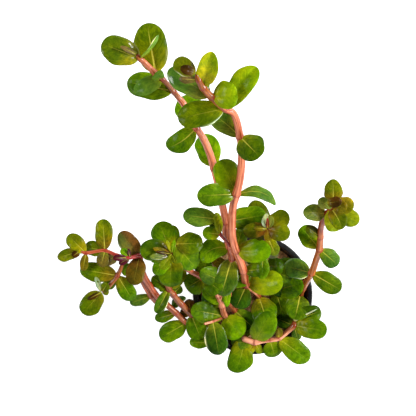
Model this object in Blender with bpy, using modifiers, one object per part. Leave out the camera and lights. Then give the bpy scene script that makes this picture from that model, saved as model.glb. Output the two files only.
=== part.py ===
"""Blood red rotala, a stem plant, rooted in a mineral wool plug in a small round growing pot.

The origin is the middle of the pot's underside, +Z is up, and +X and +Y are right and up as the plant is
seen from straight above. Stems and leaves are placed by where they are seen from an eye high above the pot,
across and down in the picture, with a real height above the table. Thicknesses, widths and heights are in
millimetres, and seen_at turns them into metres.
"""
import math
from typing import NamedTuple

import bmesh
import bpy
from mathutils import Matrix, Vector

MM = 0.001
SAME_PLACE = 0.00001

# The eye looks straight down on the picture's middle.
PICTURE_MIDDLE = 208.0
EYE_HEIGHT = 650.0
STEPS_PER_MM_AT_RIM = 2.4
POT_SEEN_ACROSS = 252.7
POT_SEEN_DOWN = 294.5

# Growing pot
POT_HEIGHT = 50.0
RIM_RADIUS = 25.0
RIM_DEPTH = 2.5
RIM_UNDERSIDE_RISE = 0.6
MOUTH_RADIUS = 22.9
WALL = 1.1
BASE_RADIUS = 17.5
FLOOR = 1.5
ROUND_STEPS = 32
WALL_SLOTS = 12
WALL_SLOT_WIDTH = 2.6
WALL_SLOT_LOW = 7.0
WALL_SLOT_HIGH = 33.0
WALL_CUT_INNER = 12.0
WALL_CUT_OUTER = 26.0
FLOOR_SLOTS = 8
FLOOR_SLOT_WIDTH = 2.4
FLOOR_SLOT_INNER = 7.5
FLOOR_SLOT_OUTER = 14.0

# Wool plug
GAP = 0.3
PLUG_TOP = 46.0
PLUG_EDGE_ROUND = 1.0

# Leaves
LEAF_THICKNESS = 0.7
LEAF_STALK_WIDTH = 1.3
LEAF_WIDEST = 0.54
LEAF_TIP_SHARE = 0.16
LEAF_ARCH_SHARE = 0.06
LEAF_FOLD = 8.0
LEAF_ROOTING = 0.3
STALK_END_POINTEDNESS = 1.25
EVEN_SPACING_SHARE = 0.25
LEAST_SLANT = 0.55
OWN_LEAF_STEPS = 5
JOINED_LEAF_STEPS = 4

# Stems
STEM_STEP = 6.0
THICK_STEM = 3.0
THICK_STEM_RESOLUTION = 2
THIN_STEM_RESOLUTION = 1


class Stem(NamedTuple):
    """A stem's route: across, down, height and thickness at each point, from its foot to its tip."""

    name: str
    route: list


class Leaf(NamedTuple):
    """A leaf from a stem's route point to its tip (across, down, height)."""

    stem: str
    point: int
    tip: tuple
    width: float
    tone: str
    own: bool = False
    arch: float = LEAF_ARCH_SHARE
    fold: float = LEAF_FOLD
    roll: float = 0.0


STEMS = [
    Stem("tall_right", [
        (260, 300, 40, 1.7), (259, 296.5, 49, 1.8), (252.5, 291, 55, 1.9), (246.5, 285, 61, 3.0),
        (243.5, 271, 70, 3.2), (240, 260, 77, 3.1), (236, 250.5, 83, 3.1), (232.5, 238, 90, 3.1),
        (232, 222, 97, 3.1), (233, 207, 103, 3.0), (236.5, 194, 108, 3.1), (240, 180, 113, 2.9),
        (241.5, 165, 117, 2.9), (241.5, 150, 121, 2.8), (240, 137, 125, 2.8), (237, 122, 129, 2.7),
        (233, 113, 132, 2.6), (225, 108.5, 135, 2.4), (211.5, 97, 140, 2.1), (203, 87.5, 144, 1.9),
        (197.5, 78, 147, 1.4)]),
    Stem("tall_left", [
        (236, 314, 40, 2.2), (234.5, 310, 50, 2.3), (229.5, 300, 57, 2.4), (228.5, 284, 63, 2.6),
        (230, 269, 68, 2.8), (232, 257.5, 73, 2.9), (229.5, 247, 78, 3.0), (226, 233, 84, 3.0),
        (225.5, 222, 88, 3.1), (224, 212, 91.5, 3.0), (221.5, 201, 95, 3.0), (218, 184, 99.5, 2.9),
        (214, 168, 104, 3.0), (209.5, 153, 108, 2.8), (203.5, 139, 112, 2.7), (196.5, 128, 115.5, 2.6),
        (190, 116, 118.5, 2.4), (184, 104.5, 121.5, 2.3), (180, 97, 123.5, 2.3), (172.5, 92.5, 126, 2.3),
        (168, 86, 128.5, 2.1), (162.5, 79, 131, 2.1), (156, 74, 133, 2.4), (150, 68, 135, 2.2),
        (144.5, 62.5, 137, 2.1), (140, 59, 138.5, 1.8), (137, 54.5, 140, 1.2)]),
    Stem("small_shoot", [
        (229.5, 245.5, 82.3, 1.1), (225, 240, 85, 1.1), (220.5, 234.5, 87.5, 1.2), (218.5, 227, 90, 1.1),
        (216.5, 219, 92.5, 1.0)]),
    Stem("right", [
        (297.5, 300, 40, 2.3), (300.5, 294, 49.5, 2.4), (305.5, 283, 57, 2.7), (311.5, 273, 64, 2.8),
        (316, 260.5, 72, 2.7), (319.5, 249, 79, 2.7), (321, 237, 86, 2.4), (322, 228, 91, 2.2),
        (325, 220, 96, 2.0), (328, 213.5, 100, 2.0), (331, 208, 104, 1.8), (333.3, 201.5, 107.5, 1.5)]),
    Stem("centre", [
        (277, 298, 40, 2.0), (275.5, 290, 51, 2.1), (271, 277, 57, 2.1), (264, 266, 62, 2.1),
        (263, 254, 70, 2.0), (265.5, 243, 79, 1.9), (267, 235.5, 87.5, 1.9), (267.6, 228.6, 94, 1.5)]),
    Stem("left_rosette", [
        (232, 321, 40, 2.3), (225, 316, 49.5, 2.5), (222, 306.5, 55, 2.5), (218.5, 296, 60, 2.4),
        (212, 286, 65, 2.3), (203, 278, 69.5, 2.3), (192, 272, 73, 2.1), (184, 267, 76, 1.9),
        (177, 260.5, 79, 1.8), (172, 254, 82, 1.6)]),
    Stem("left_low", [
        (213, 311.5, 40, 2.4), (208, 313, 49, 2.4), (199, 314.5, 53, 2.5), (191, 314, 55.5, 2.7),
        (181, 304, 60, 2.6), (173, 294.5, 64, 2.5), (169, 289, 66.5, 2.5), (165, 279, 70.5, 1.8)]),
    Stem("left_long", [
        (222, 325, 40, 2.2), (216, 327, 50, 2.3), (205, 326.5, 52.8, 2.3), (187, 322.5, 53.5, 2.5),
        (176, 313, 57, 2.5), (165, 303, 61, 2.5), (157, 296, 64, 2.5), (150, 286, 68, 2.5),
        (143.5, 275.5, 73, 2.4), (141, 264, 78, 2.1), (139.5, 256, 81.5, 1.9), (130, 257.5, 84.5, 1.5),
        (118, 255.5, 86, 1.4), (105, 250.5, 87, 1.4), (95, 251.5, 87.5, 1.3), (86, 253, 87.5, 1.3),
        (79.6, 250.8, 87.6, 1.1)]),
    Stem("left_fork", [
        (157.5, 304, 60.5, 2.0), (150.5, 296.5, 63, 2.3), (144.5, 287.5, 66.5, 2.3), (139, 278, 70.5, 2.1),
        (134, 269, 74, 1.7)]),
    Stem("hanging_shoot", [
        (123.5, 259, 84.6, 1.2), (120, 268.5, 83, 1.2), (118, 277, 82.5, 1.3), (113, 283, 82, 1.1),
        (107, 289, 81.5, 1.1), (101, 291.5, 81, 1.0)]),
    Stem("front_left", [
        (233, 329, 40, 1.6), (228, 334, 49.5, 1.6), (219, 340, 51.8, 1.6), (211, 343, 52.3, 1.4)]),
    Stem("front_left_shoot", [
        (222, 318, 51.5, 1.1), (213, 321.5, 56.5, 1.1), (204, 324, 60, 1.0)]),
    Stem("creeping", [
        (240, 334, 40, 2.4), (244, 338.5, 51, 2.5), (254.5, 342, 52.5, 2.6), (262, 341, 53, 2.0),
        (270, 340, 53.4, 1.8), (279, 338.5, 53.8, 1.8), (287, 332, 54, 2.0), (294, 325.5, 54.3, 2.3),
        (293, 321, 54, 1.4)]),
]

LEAVES = [
    Leaf("tall_right", 1, (268, 325, 55), 11.0, "olive", own=True),
    Leaf("tall_right", 3, (283, 280.5, 70), 10.2, "bright", own=True),
    Leaf("tall_right", 3, (236, 308, 58), 7.8, "dark", own=True),
    Leaf("tall_right", 6, (271, 251, 88), 9.4, "bright", own=True),
    Leaf("tall_right", 10, (197, 196, 110), 8.7, "dark", own=True),
    Leaf("tall_right", 10, (276, 204, 104), 5.5, "green", own=True, arch=0.16, roll=-30),
    Leaf("tall_right", 10, (220, 160, 110), 10.0, "bright", own=True, fold=5),
    Leaf("tall_right", 14, (258, 160, 133), 11.3, "dark", own=True),
    Leaf("tall_right", 14, (209, 119, 121), 7.5, "green", own=True),
    Leaf("tall_right", 17, (178, 119, 134), 9.7, "dark", own=True),
    Leaf("tall_right", 17, (257, 68, 141), 7.5, "bright", own=True, fold=25),
    Leaf("tall_right", 18, (237, 90, 143), 8.8, "bright", own=True),
    Leaf("tall_right", 18, (168, 75, 140), 8.9, "dark", own=True),
    Leaf("tall_right", 20, (175, 60, 150), 6.8, "olive", own=True),
    Leaf("tall_right", 20, (211, 52, 153), 6.8, "bright", own=True, fold=28),
    Leaf("tall_right", 19, (208, 83, 141), 2.6, "green"),
    Leaf("tall_right", 20, (180, 77, 144), 2.2, "young"),

    Leaf("tall_left", 5, (221, 296, 69), 9.7, "dark", own=True),
    Leaf("tall_left", 6, (201, 256, 80), 9.0, "green", own=True),
    Leaf("tall_left", 8, (265, 213, 92), 8.4, "dark", own=True),
    Leaf("tall_left", 12, (205, 134, 100), 9.3, "green", own=True),
    Leaf("tall_left", 15, (167, 150, 113), 7.7, "dark", own=True),
    Leaf("tall_left", 15, (185, 95, 112), 11.0, "green", own=True),
    Leaf("tall_left", 19, (127, 82, 124), 9.3, "dark", own=True),
    Leaf("tall_left", 22, (145, 23, 132), 12.2, "green", own=True, arch=0.02, fold=4),
    Leaf("tall_left", 22, (134, 94, 130), 6.5, "green", own=True, arch=0.12),
    Leaf("tall_left", 25, (102, 46, 141), 10.6, "olive", own=True),
    Leaf("tall_left", 25, (158, 35, 146), 6.0, "bright", own=True, roll=75),
    Leaf("tall_left", 26, (120, 48, 144), 2.5, "young"),
    Leaf("tall_left", 2, (227, 292, 60), 2.5, "bright"),
    Leaf("tall_left", 1, (258, 330, 49), 7.5, "dark"),

    Leaf("small_shoot", 4, (183, 215, 94), 7.7, "dark", own=True),
    Leaf("small_shoot", 2, (215, 214, 95), 4.0, "olive", roll=80),
    Leaf("small_shoot", 3, (209, 222, 91), 3.0, "dark"),
    Leaf("small_shoot", 2, (203, 232, 89), 5.0, "green"),

    Leaf("right", 1, (295, 321, 58), 9.9, "green", own=True),
    Leaf("right", 3, (341, 290, 62), 8.0, "green", own=True),
    Leaf("right", 3, (279, 266, 62), 8.0, "dark", own=True),
    Leaf("right", 5, (338, 265, 75), 7.0, "green", own=True),
    Leaf("right", 5, (301, 227, 82), 8.0, "bright", own=True),
    Leaf("right", 9, (303, 212, 103), 6.3, "green"),
    Leaf("right", 9, (336, 233, 98), 8.0, "bright"),
    Leaf("right", 10, (358, 220, 104), 7.2, "bright"),
    Leaf("right", 10, (354, 203, 108), 5.6, "bright"),
    Leaf("right", 10, (343, 230, 106), 6.8, "olive"),
    Leaf("right", 10, (318, 200, 104), 4.0, "green"),
    Leaf("right", 11, (333, 178, 109), 7.2, "green"),

    Leaf("centre", 1, (299.5, 284, 54.5), 9.8, "dark", own=True),
    Leaf("centre", 3, (283.5, 266, 66), 7.5, "dark", own=True),
    Leaf("centre", 6, (252, 201, 87), 7.0, "olive", own=True),
    Leaf("centre", 6, (277, 254, 84), 5.4, "olive", own=True),
    Leaf("centre", 1, (284, 318, 47.8), 8.0, "dark", arch=0.0, fold=2),
    Leaf("centre", 7, (288, 213, 97), 6.3, "olive"),
    Leaf("centre", 7, (289, 235, 95), 6.3, "olive"),
    Leaf("centre", 7, (246, 228, 96), 3.6, "olive"),
    Leaf("centre", 7, (244, 239, 92), 4.0, "dark"),
    Leaf("centre", 7, (264, 216, 98), 2.6, "green"),

    Leaf("left_rosette", 1, (240, 339, 55), 11.0, "bright", own=True),
    Leaf("left_rosette", 1, (193, 308, 60), 9.0, "green", own=True),
    Leaf("left_rosette", 5, (188, 291, 66), 9.5, "olive", own=True),
    Leaf("left_rosette", 9, (170, 287, 77), 9.5, "green"),
    Leaf("left_rosette", 9, (203, 243, 82), 8.7, "green"),
    Leaf("left_rosette", 5, (206, 259, 72), 6.0, "dark"),
    Leaf("left_rosette", 9, (157, 222, 84), 8.0, "green"),
    Leaf("left_rosette", 9, (173, 226, 86), 4.5, "olive"),
    Leaf("left_rosette", 9, (141, 248, 86), 8.0, "dark"),
    Leaf("left_rosette", 9, (151, 261, 84), 3.5, "green"),
    Leaf("left_rosette", 9, (154, 274, 79), 6.0, "green"),
    Leaf("left_rosette", 9, (190, 269, 77), 8.0, "green"),

    Leaf("left_low", 3, (201, 339, 54), 9.0, "green", arch=0.02),
    Leaf("left_low", 6, (152, 277, 68), 5.5, "dark"),
    Leaf("left_low", 6, (184, 268, 69), 6.0, "olive"),
    Leaf("left_low", 4, (184, 295, 57), 3.5, "dark"),
    Leaf("left_low", 6, (153, 310, 65.5), 4.2, "dark"),

    Leaf("left_long", 3, (160, 338, 51), 8.2, "green"),
    Leaf("left_long", 4, (155, 319, 54), 4.0, "green"),
    Leaf("left_long", 10, (120, 232, 85), 8.0, "olive"),
    Leaf("left_long", 10, (133, 285, 84), 7.5, "young", own=True),
    Leaf("left_long", 11, (121, 249, 87), 3.0, "bright"),
    Leaf("left_long", 12, (103, 262, 85), 3.6, "young"),
    Leaf("left_long", 13, (103, 219, 88), 7.0, "green"),
    Leaf("left_long", 13, (88, 245, 85), 7.0, "green"),
    Leaf("left_long", 13, (102, 267, 86), 5.0, "olive"),
    Leaf("left_long", 15, (84, 267, 85), 3.2, "young"),
    Leaf("left_long", 16, (69, 236, 88), 5.5, "olive"),
    Leaf("left_long", 16, (58, 258, 87), 4.4, "green"),

    Leaf("left_fork", 1, (130, 306, 61), 4.2, "dark"),
    Leaf("left_fork", 4, (121, 271, 77), 5.0, "green"),

    Leaf("hanging_shoot", 2, (79, 275, 82.5), 8.3, "green"),
    Leaf("hanging_shoot", 2, (104, 288, 78.5), 5.0, "green"),
    Leaf("hanging_shoot", 2, (134, 300, 79), 7.2, "green"),
    Leaf("hanging_shoot", 4, (97, 277, 84), 2.2, "dark"),
    Leaf("hanging_shoot", 4, (107, 296, 79.5), 2.5, "olive"),
    Leaf("hanging_shoot", 5, (83, 314, 79), 8.4, "green", own=True),

    Leaf("front_left", 3, (190, 342, 51), 5.0, "olive"),
    Leaf("front_left_shoot", 1, (221, 354, 54), 8.7, "dark"),

    Leaf("creeping", 2, (272, 312, 60), 9.8, "green", own=True, fold=20),
    Leaf("creeping", 2, (232, 372, 50), 10.0, "green", own=True),
    Leaf("creeping", 5, (309, 361, 52), 9.1, "green", own=True),
    Leaf("creeping", 7, (327, 331, 58.5), 9.0, "bright", own=True),
    Leaf("creeping", 2, (262, 354, 51), 3.0, "olive"),
    Leaf("creeping", 4, (275, 357, 50.5), 8.0, "green"),
    Leaf("creeping", 5, (279, 328, 58), 3.0, "olive"),
    Leaf("creeping", 7, (298, 340, 50.3), 4.2, "dark"),
    Leaf("creeping", 8, (317, 315, 52), 5.5, "dark"),
]

# Each colour with its roughness
FINISHES = {
    "dark": ((0.045, 0.105, 0.012), 0.35),
    "green": ((0.085, 0.185, 0.015), 0.35),
    "bright": ((0.230, 0.360, 0.020), 0.35),
    "olive": ((0.150, 0.125, 0.015), 0.35),
    "young": ((0.130, 0.030, 0.020), 0.35),
    "stem": ((0.640, 0.190, 0.120), 0.4),
    "wool": ((0.150, 0.080, 0.040), 0.95),
    "pot": ((0.010, 0.010, 0.014), 0.45),
}


def clear_scene():
    for old in list(bpy.data.objects):
        bpy.data.objects.remove(old, do_unlink=True)


def new_collection(name):
    collection = bpy.data.collections.new(name)
    bpy.context.scene.collection.children.link(collection)
    return collection


def material(name):
    found = bpy.data.materials.get(name)
    if found:
        return found
    made = bpy.data.materials.new(name)
    made.use_nodes = True
    shader = made.node_tree.nodes["Principled BSDF"]
    colour, roughness = FINISHES[name]
    shader.inputs["Base Color"].default_value = (*colour, 1.0)
    shader.inputs["Roughness"].default_value = roughness
    shader.inputs["Metallic"].default_value = 0.0
    return made


def add_object(name, mesh, collection):
    made = bpy.data.objects.new(name, mesh)
    collection.objects.link(made)
    return made


def mesh_object(name, bm, collection):
    mesh = bpy.data.meshes.new(name)
    bm.to_mesh(mesh)
    bm.free()
    return add_object(name, mesh, collection)


def as_cutter(made):
    made.hide_render = True
    made.display_type = "WIRE"
    return made


def seen_at(across, down, height):
    """The real place of a point that is seen at across, down and lies at a height above the table."""
    steps_away = STEPS_PER_MM_AT_RIM * (EYE_HEIGHT - POT_HEIGHT)
    mm_per_step = (EYE_HEIGHT - height) / steps_away
    eye_x = (PICTURE_MIDDLE - POT_SEEN_ACROSS) / STEPS_PER_MM_AT_RIM
    eye_y = (POT_SEEN_DOWN - PICTURE_MIDDLE) / STEPS_PER_MM_AT_RIM
    x = eye_x + (across - PICTURE_MIDDLE) * mm_per_step
    y = eye_y - (down - PICTURE_MIDDLE) * mm_per_step
    return Vector((x, y, height)) * MM


def combine(made, other, operation):
    modifier = made.modifiers.new(operation.lower(), "BOOLEAN")
    modifier.operation = operation
    modifier.solver = "EXACT"
    modifier.object = other


def turned(name, profile, collection):
    """A profile of (radius, height) turned about the pot's axis."""
    bm = bmesh.new()
    points = [bm.verts.new((radius * MM, 0, height * MM)) for radius, height in profile]
    for start, end in zip(points, points[1:]):
        bm.edges.new((start, end))
    made = mesh_object(name, bm, collection)
    screw = made.modifiers.new("turn", "SCREW")
    screw.steps = ROUND_STEPS
    screw.render_steps = ROUND_STEPS
    screw.use_merge_vertices = True
    screw.merge_threshold = SAME_PLACE
    return made


def inner_radius(height):
    """The pot's inner wall at a height."""
    low = BASE_RADIUS - WALL
    return low + (MOUTH_RADIUS - low) * (height - FLOOR) / (POT_HEIGHT - FLOOR)


def slot_cutter(name, size, place, turn, collection):
    """A box of a size in mm, moved to a place and then turned about the pot's axis."""
    bm = bmesh.new()
    bmesh.ops.create_cube(bm, size=1.0)
    bmesh.ops.scale(bm, vec=Vector(size) * MM, verts=bm.verts)
    bmesh.ops.translate(bm, vec=Vector(place) * MM, verts=bm.verts)
    made = mesh_object(name, bm, collection)
    made.rotation_euler.z = turn
    return as_cutter(made)


def make_pot(parts, cutters):
    under_rim = POT_HEIGHT - RIM_DEPTH
    profile = [
        (0, FLOOR),
        (inner_radius(FLOOR), FLOOR),
        (MOUTH_RADIUS, POT_HEIGHT),
        (RIM_RADIUS, POT_HEIGHT),
        (RIM_RADIUS, under_rim),
        (inner_radius(under_rim) + WALL, under_rim - RIM_UNDERSIDE_RISE),
        (BASE_RADIUS, 0),
        (0, 0),
    ]
    pot = turned("growing_pot", profile, parts)
    pot.data.materials.append(material("pot"))
    size = (WALL_CUT_OUTER - WALL_CUT_INNER, WALL_SLOT_WIDTH, WALL_SLOT_HIGH - WALL_SLOT_LOW)
    place = ((WALL_CUT_OUTER + WALL_CUT_INNER) / 2, 0, (WALL_SLOT_HIGH + WALL_SLOT_LOW) / 2)
    for number in range(WALL_SLOTS):
        turn = 2 * math.pi * (number + 0.5) / WALL_SLOTS
        combine(pot, slot_cutter(f"wall_slot_{number}", size, place, turn, cutters), "DIFFERENCE")
    size = (FLOOR_SLOT_OUTER - FLOOR_SLOT_INNER, FLOOR_SLOT_WIDTH, 4 * FLOOR)
    place = ((FLOOR_SLOT_OUTER + FLOOR_SLOT_INNER) / 2, 0, 0)
    for number in range(FLOOR_SLOTS):
        turn = 2 * math.pi * (number + 0.5) / FLOOR_SLOTS
        combine(pot, slot_cutter(f"floor_slot_{number}", size, place, turn, cutters), "DIFFERENCE")


def make_plug(parts, pockets):
    """The wool fills the pot below its mouth, with a pocket round each rooted stem."""
    bottom = FLOOR + GAP
    profile = [
        (0, PLUG_TOP),
        (inner_radius(PLUG_TOP) - 2 * GAP - PLUG_EDGE_ROUND, PLUG_TOP),
        (inner_radius(PLUG_TOP - PLUG_EDGE_ROUND) - 2 * GAP, PLUG_TOP - PLUG_EDGE_ROUND),
        (inner_radius(bottom) - 2 * GAP, bottom),
        (0, bottom),
    ]
    plug = turned("wool_plug", profile, parts)
    plug.data.materials.append(material("wool"))
    for pocket in pockets:
        combine(plug, pocket, "DIFFERENCE")


def between(before, start, end, after, share):
    """A smooth curve's point between start and end, which heads from before to after."""
    square = share * share
    cube = square * share
    return 0.5 * (2 * start + (end - before) * share + (2 * before - 5 * start + 4 * end - after) * square
                  + (3 * start - before - 3 * end + after) * cube)


def smooth_route(route):
    """Places and radii, a step apart or less, on the smooth curve through a stem's route."""
    places = [seen_at(*point[:3]) for point in route]
    radii = [point[3] * MM / 2 for point in route]
    last = len(route) - 1
    found = []
    for index in range(last):
        before = places[max(index - 1, 0)]
        after = places[min(index + 2, last)]
        start, end = places[index], places[index + 1]
        steps = max(1, round((end - start).length / (STEM_STEP * MM)))
        for step in range(steps):
            share = step / steps
            radius = radii[index] * (1 - share) + radii[index + 1] * share
            found.append((between(before, start, end, after, share), radius))
    found.append((places[last], radii[last]))
    return found


def tube(name, samples, extra, resolution, collection):
    """A closed mesh tube along samples of (place, radius), fatter by extra."""
    curve = bpy.data.curves.new(name, "CURVE")
    curve.dimensions = "3D"
    curve.bevel_depth = MM
    curve.bevel_resolution = resolution
    curve.use_fill_caps = True
    spline = curve.splines.new("POLY")
    spline.points.add(len(samples) - 1)
    for point, (place, radius) in zip(spline.points, samples):
        point.co = (*place, 1.0)
        point.radius = (radius + extra) / MM
    guide = add_object(name + "_guide", curve, collection)
    bpy.context.view_layer.update()
    mesh = bpy.data.meshes.new_from_object(guide.evaluated_get(bpy.context.evaluated_depsgraph_get()))
    bpy.data.objects.remove(guide, do_unlink=True)
    bm = bmesh.new()
    bm.from_mesh(mesh)
    bpy.data.meshes.remove(mesh)
    bmesh.ops.remove_doubles(bm, verts=bm.verts, dist=SAME_PLACE)
    bmesh.ops.recalc_face_normals(bm, faces=bm.faces)
    return mesh_object(name, bm, collection)


def leaf_half_width(share, width):
    """Half the leaf's width at a share of its length: two half ellipses, the one at the stalk more pointed."""
    if share < LEAF_WIDEST:
        away = 1 - share / LEAF_WIDEST
        form = math.sqrt(max(0.0, 1 - away * away)) ** STALK_END_POINTEDNESS
        return max(width / 2 * form, LEAF_STALK_WIDTH / 2)
    away = (share - LEAF_WIDEST) / (1 - LEAF_WIDEST)
    return width / 2 * max(math.sqrt(max(0.0, 1 - away * away)), LEAF_TIP_SHARE)


def leaf_object(name, leaf, start, end, steps, collection):
    """A leaf from start to end, thickest along its midrib, folded along it and arched over its length."""
    length = (end - start).length / MM
    rise_per_mm = math.tan(math.radians(leaf.fold))
    bm = bmesh.new()
    for side in (1, -1):
        grid = bmesh.ops.create_grid(bm, x_segments=steps, y_segments=2, size=1.0)["verts"]
        for vert in grid:
            share = (vert.co.x + 1) / 2
            towards_ends = 0.5 - 0.5 * math.cos(math.pi * share)
            share = EVEN_SPACING_SHARE * share + (1 - EVEN_SPACING_SHARE) * towards_ends
            across = vert.co.y * leaf_half_width(share, leaf.width)
            up = leaf.arch * length * 4 * share * (1 - share) + abs(across) * rise_per_mm
            if abs(vert.co.y) < 0.5:
                up += side * LEAF_THICKNESS / 2
            vert.co = Vector((share * length, across, up)) * MM
        if side < 0:
            faces = {face for vert in grid for face in vert.link_faces}
            bmesh.ops.reverse_faces(bm, faces=list(faces))
    bmesh.ops.remove_doubles(bm, verts=bm.verts, dist=SAME_PLACE)
    bmesh.ops.holes_fill(bm, edges=bm.edges, sides=4)
    bmesh.ops.recalc_face_normals(bm, faces=bm.faces)
    made = mesh_object(name, bm, collection)
    along = (end - start).normalized()
    level = Vector((0, 0, 1)).cross(along).normalized()
    turn = Matrix((along, level, along.cross(level))).transposed()
    turn = Matrix.Rotation(math.radians(leaf.roll), 3, along) @ turn
    made.matrix_world = Matrix.Translation(start) @ turn.to_4x4()
    made.data.materials.append(material(leaf.tone))
    return made


def leaf_start(route, point, end):
    """Where a separate leaf starts: at its joint's skin, clear of it by the gap."""
    joint = seen_at(*route[point][:3])
    before = seen_at(*route[max(point - 1, 0)][:3])
    after = seen_at(*route[min(point + 1, len(route) - 1)][:3])
    along_leaf = (end - joint).normalized()
    slant = max(along_leaf.cross((after - before).normalized()).length, LEAST_SLANT)
    if point == len(route) - 1:
        slant = 1.0
    clear = (route[point][3] / 2 + GAP + LEAF_THICKNESS / 2) * MM
    return joint + along_leaf * clear / slant


def make_stem(stem, leaves, parts, cutters):
    """A stem with its joined leaves, and its separate leaves as objects of their own."""
    samples = smooth_route(stem.route)
    thickest = max(point[3] for point in stem.route)
    resolution = THICK_STEM_RESOLUTION if thickest > THICK_STEM else THIN_STEM_RESOLUTION
    made = tube("stem_" + stem.name, samples, 0, resolution, parts)
    made.data.materials.append(material("stem"))
    own_count = 0
    for number, leaf in enumerate(leaves):
        end = seen_at(*leaf.tip)
        if leaf.own:
            own_count += 1
            start = leaf_start(stem.route, leaf.point, end)
            leaf_object(f"leaf_{stem.name}_{own_count}", leaf, start, end, OWN_LEAF_STEPS, parts)
        else:
            joint = seen_at(*stem.route[leaf.point][:3])
            start = joint - (end - joint).normalized() * stem.route[leaf.point][3] * MM * LEAF_ROOTING
            name = f"joined_leaf_{stem.name}_{number}"
            joined = as_cutter(leaf_object(name, leaf, start, end, JOINED_LEAF_STEPS, cutters))
            combine(made, joined, "UNION")
    if stem.route[0][2] < PLUG_TOP:
        foot, radius = samples[0]
        deeper = foot + (foot - samples[1][0]).normalized() * GAP * MM
        samples.insert(0, (deeper, radius))
        return as_cutter(tube("pocket_" + stem.name, samples, GAP * MM, resolution, cutters))
    return None


def main():
    clear_scene()
    parts = new_collection("blood_red_rotala")
    cutters = new_collection("cutters")
    pockets = []
    for stem in STEMS:
        leaves = [leaf for leaf in LEAVES if leaf.stem == stem.name]
        pocket = make_stem(stem, leaves, parts, cutters)
        if pocket:
            pockets.append(pocket)
    make_pot(parts, cutters)
    make_plug(parts, pockets)


main()
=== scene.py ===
"""The looks of a blood red rotala in its growing pot: blades, stems, wool and pot, on a pale table.

Stems and leaves are placed as the solids are: by where they are seen, across and down, by an eye high above
the pot, with a real height above the table. Heights, widths and thicknesses are in millimetres. What the
finishes, the lamps and the camera are given is in metres.
"""
import math
import random
from typing import NamedTuple

import bmesh
import bpy
from mathutils import Matrix, Vector, noise


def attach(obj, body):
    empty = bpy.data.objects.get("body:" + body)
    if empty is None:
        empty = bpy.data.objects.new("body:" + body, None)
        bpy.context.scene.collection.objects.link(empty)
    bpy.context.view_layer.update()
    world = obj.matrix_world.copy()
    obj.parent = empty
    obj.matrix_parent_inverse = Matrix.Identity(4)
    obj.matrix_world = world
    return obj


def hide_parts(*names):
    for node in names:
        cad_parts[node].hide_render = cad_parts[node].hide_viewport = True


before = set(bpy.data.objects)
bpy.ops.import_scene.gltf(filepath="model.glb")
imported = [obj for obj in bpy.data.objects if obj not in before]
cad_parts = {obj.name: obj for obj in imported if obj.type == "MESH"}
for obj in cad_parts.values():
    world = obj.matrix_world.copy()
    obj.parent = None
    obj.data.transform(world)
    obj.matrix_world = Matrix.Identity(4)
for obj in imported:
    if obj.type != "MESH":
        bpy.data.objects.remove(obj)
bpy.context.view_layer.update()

MM = 0.001
# Points as near as this are one, in metres and in millimetres.
SAME_PLACE = 0.000002
SAME_POINT = 0.001
UP = Vector((0, 0, 1))
TURN = 2 * math.pi

# The eye looks straight down on the picture's middle.
PICTURE_SIZE = 416.0
PICTURE_MIDDLE = 208.0
EYE_HEIGHT = 650.0
STEPS_PER_MM_AT_RIM = 2.4
POT_SEEN_ACROSS = 252.7
POT_SEEN_DOWN = 294.5
SENSOR = 36.0
NEAREST_SEEN = 0.01

# Growing pot, as in the solids, with rounded edges
POT_HEIGHT = 50.0
RIM_RADIUS = 25.0
RIM_DEPTH = 2.5
RIM_UNDERSIDE_RISE = 0.6
MOUTH_RADIUS = 22.9
WALL = 1.1
BASE_RADIUS = 17.5
FLOOR = 1.5
WALL_SLOTS = 12
WALL_SLOT_WIDTH = 2.6
WALL_SLOT_LOW = 7.0
WALL_SLOT_HIGH = 33.0
FLOOR_SLOTS = 8
FLOOR_SLOT_WIDTH = 2.4
FLOOR_SLOT_INNER = 7.5
FLOOR_SLOT_OUTER = 14.0
WALL_CUT_LENGTH = 14.0
WALL_CUT_MIDDLE = 19.0
SLOT_ROUND = 0.6
# From the inside of the floor, over the rim, to the foot
EDGE_ROUNDS = (1.2, 0.5, 0.55, 0.3, 0.4, 0.5)
ARC_STEPS = 5
POT_STEPS = 160
SHARP_ANGLE = math.radians(35)

# Wool plug
GAP = 0.3
PLUG_TOP = 46.0
PLUG_SHOULDER = 1.2
PLUG_ROWS = range(43, 2, -4)
PLUG_RINGS = 44
PLUG_STEPS = 132
LUMP_PITCH = 0.28
LUMP_HEIGHT = 0.75
EDGE_DROP = 0.9
EDGE_DROP_WIDTH = 2.2
TOP_DROP = 0.35
SIDE_PITCH = 0.9
SIDE_HEIGHT = 0.1
NEAR = 0.1

# Wool fibres
FIBRES = 1500
FIBRE_SEED = 7
FIBRE_MARGIN = 1.2
FIBRE_HEIGHT = (-0.5, 0.35)
FIBRE_LENGTH = (1.2, 4.2)
FIBRE_BEND = (-0.5, 0.5)
FIBRE_RADIUS = (0.03, 0.075)
FIBRE_TILT = (-0.12, 0.12)
FIBRE_DARKNESS = 1.6
FIBRE_TAPER = 0.75

# Leaf blades
BLADE_ROWS = 30
BLADE_COLUMNS = 18
BLADE_THICKNESS = 0.42
STALK_WIDTH = 1.2
STALK_END_POINTEDNESS = 1.05
RIB_GROOVE = 0.16
RIB_GROOVE_WIDTH = 0.38
RIB_BELOW = 0.22
WAVE_HEIGHT = 0.32
WAVE_SIZE = 2.6
OUTLINE_WAVE = 0.05
OUTLINE_WAVES = 8
OUTLINE_OFFSET = 3
CUP = 0.14
EDGE_CURL = 0.05
AT_EDGE = 0.999
ABOUT_A_TURN = 6.28
RUFFLES = (1.5, 2.6)
RUFFLE_HEIGHT = (0.1, 0.26)
CALM_BELOW = 3
TIP_THINNING = 6
ROOT_DEPTH = 0.25
SEEDS_APART = 100
BLADE_LOTS = 97
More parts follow.
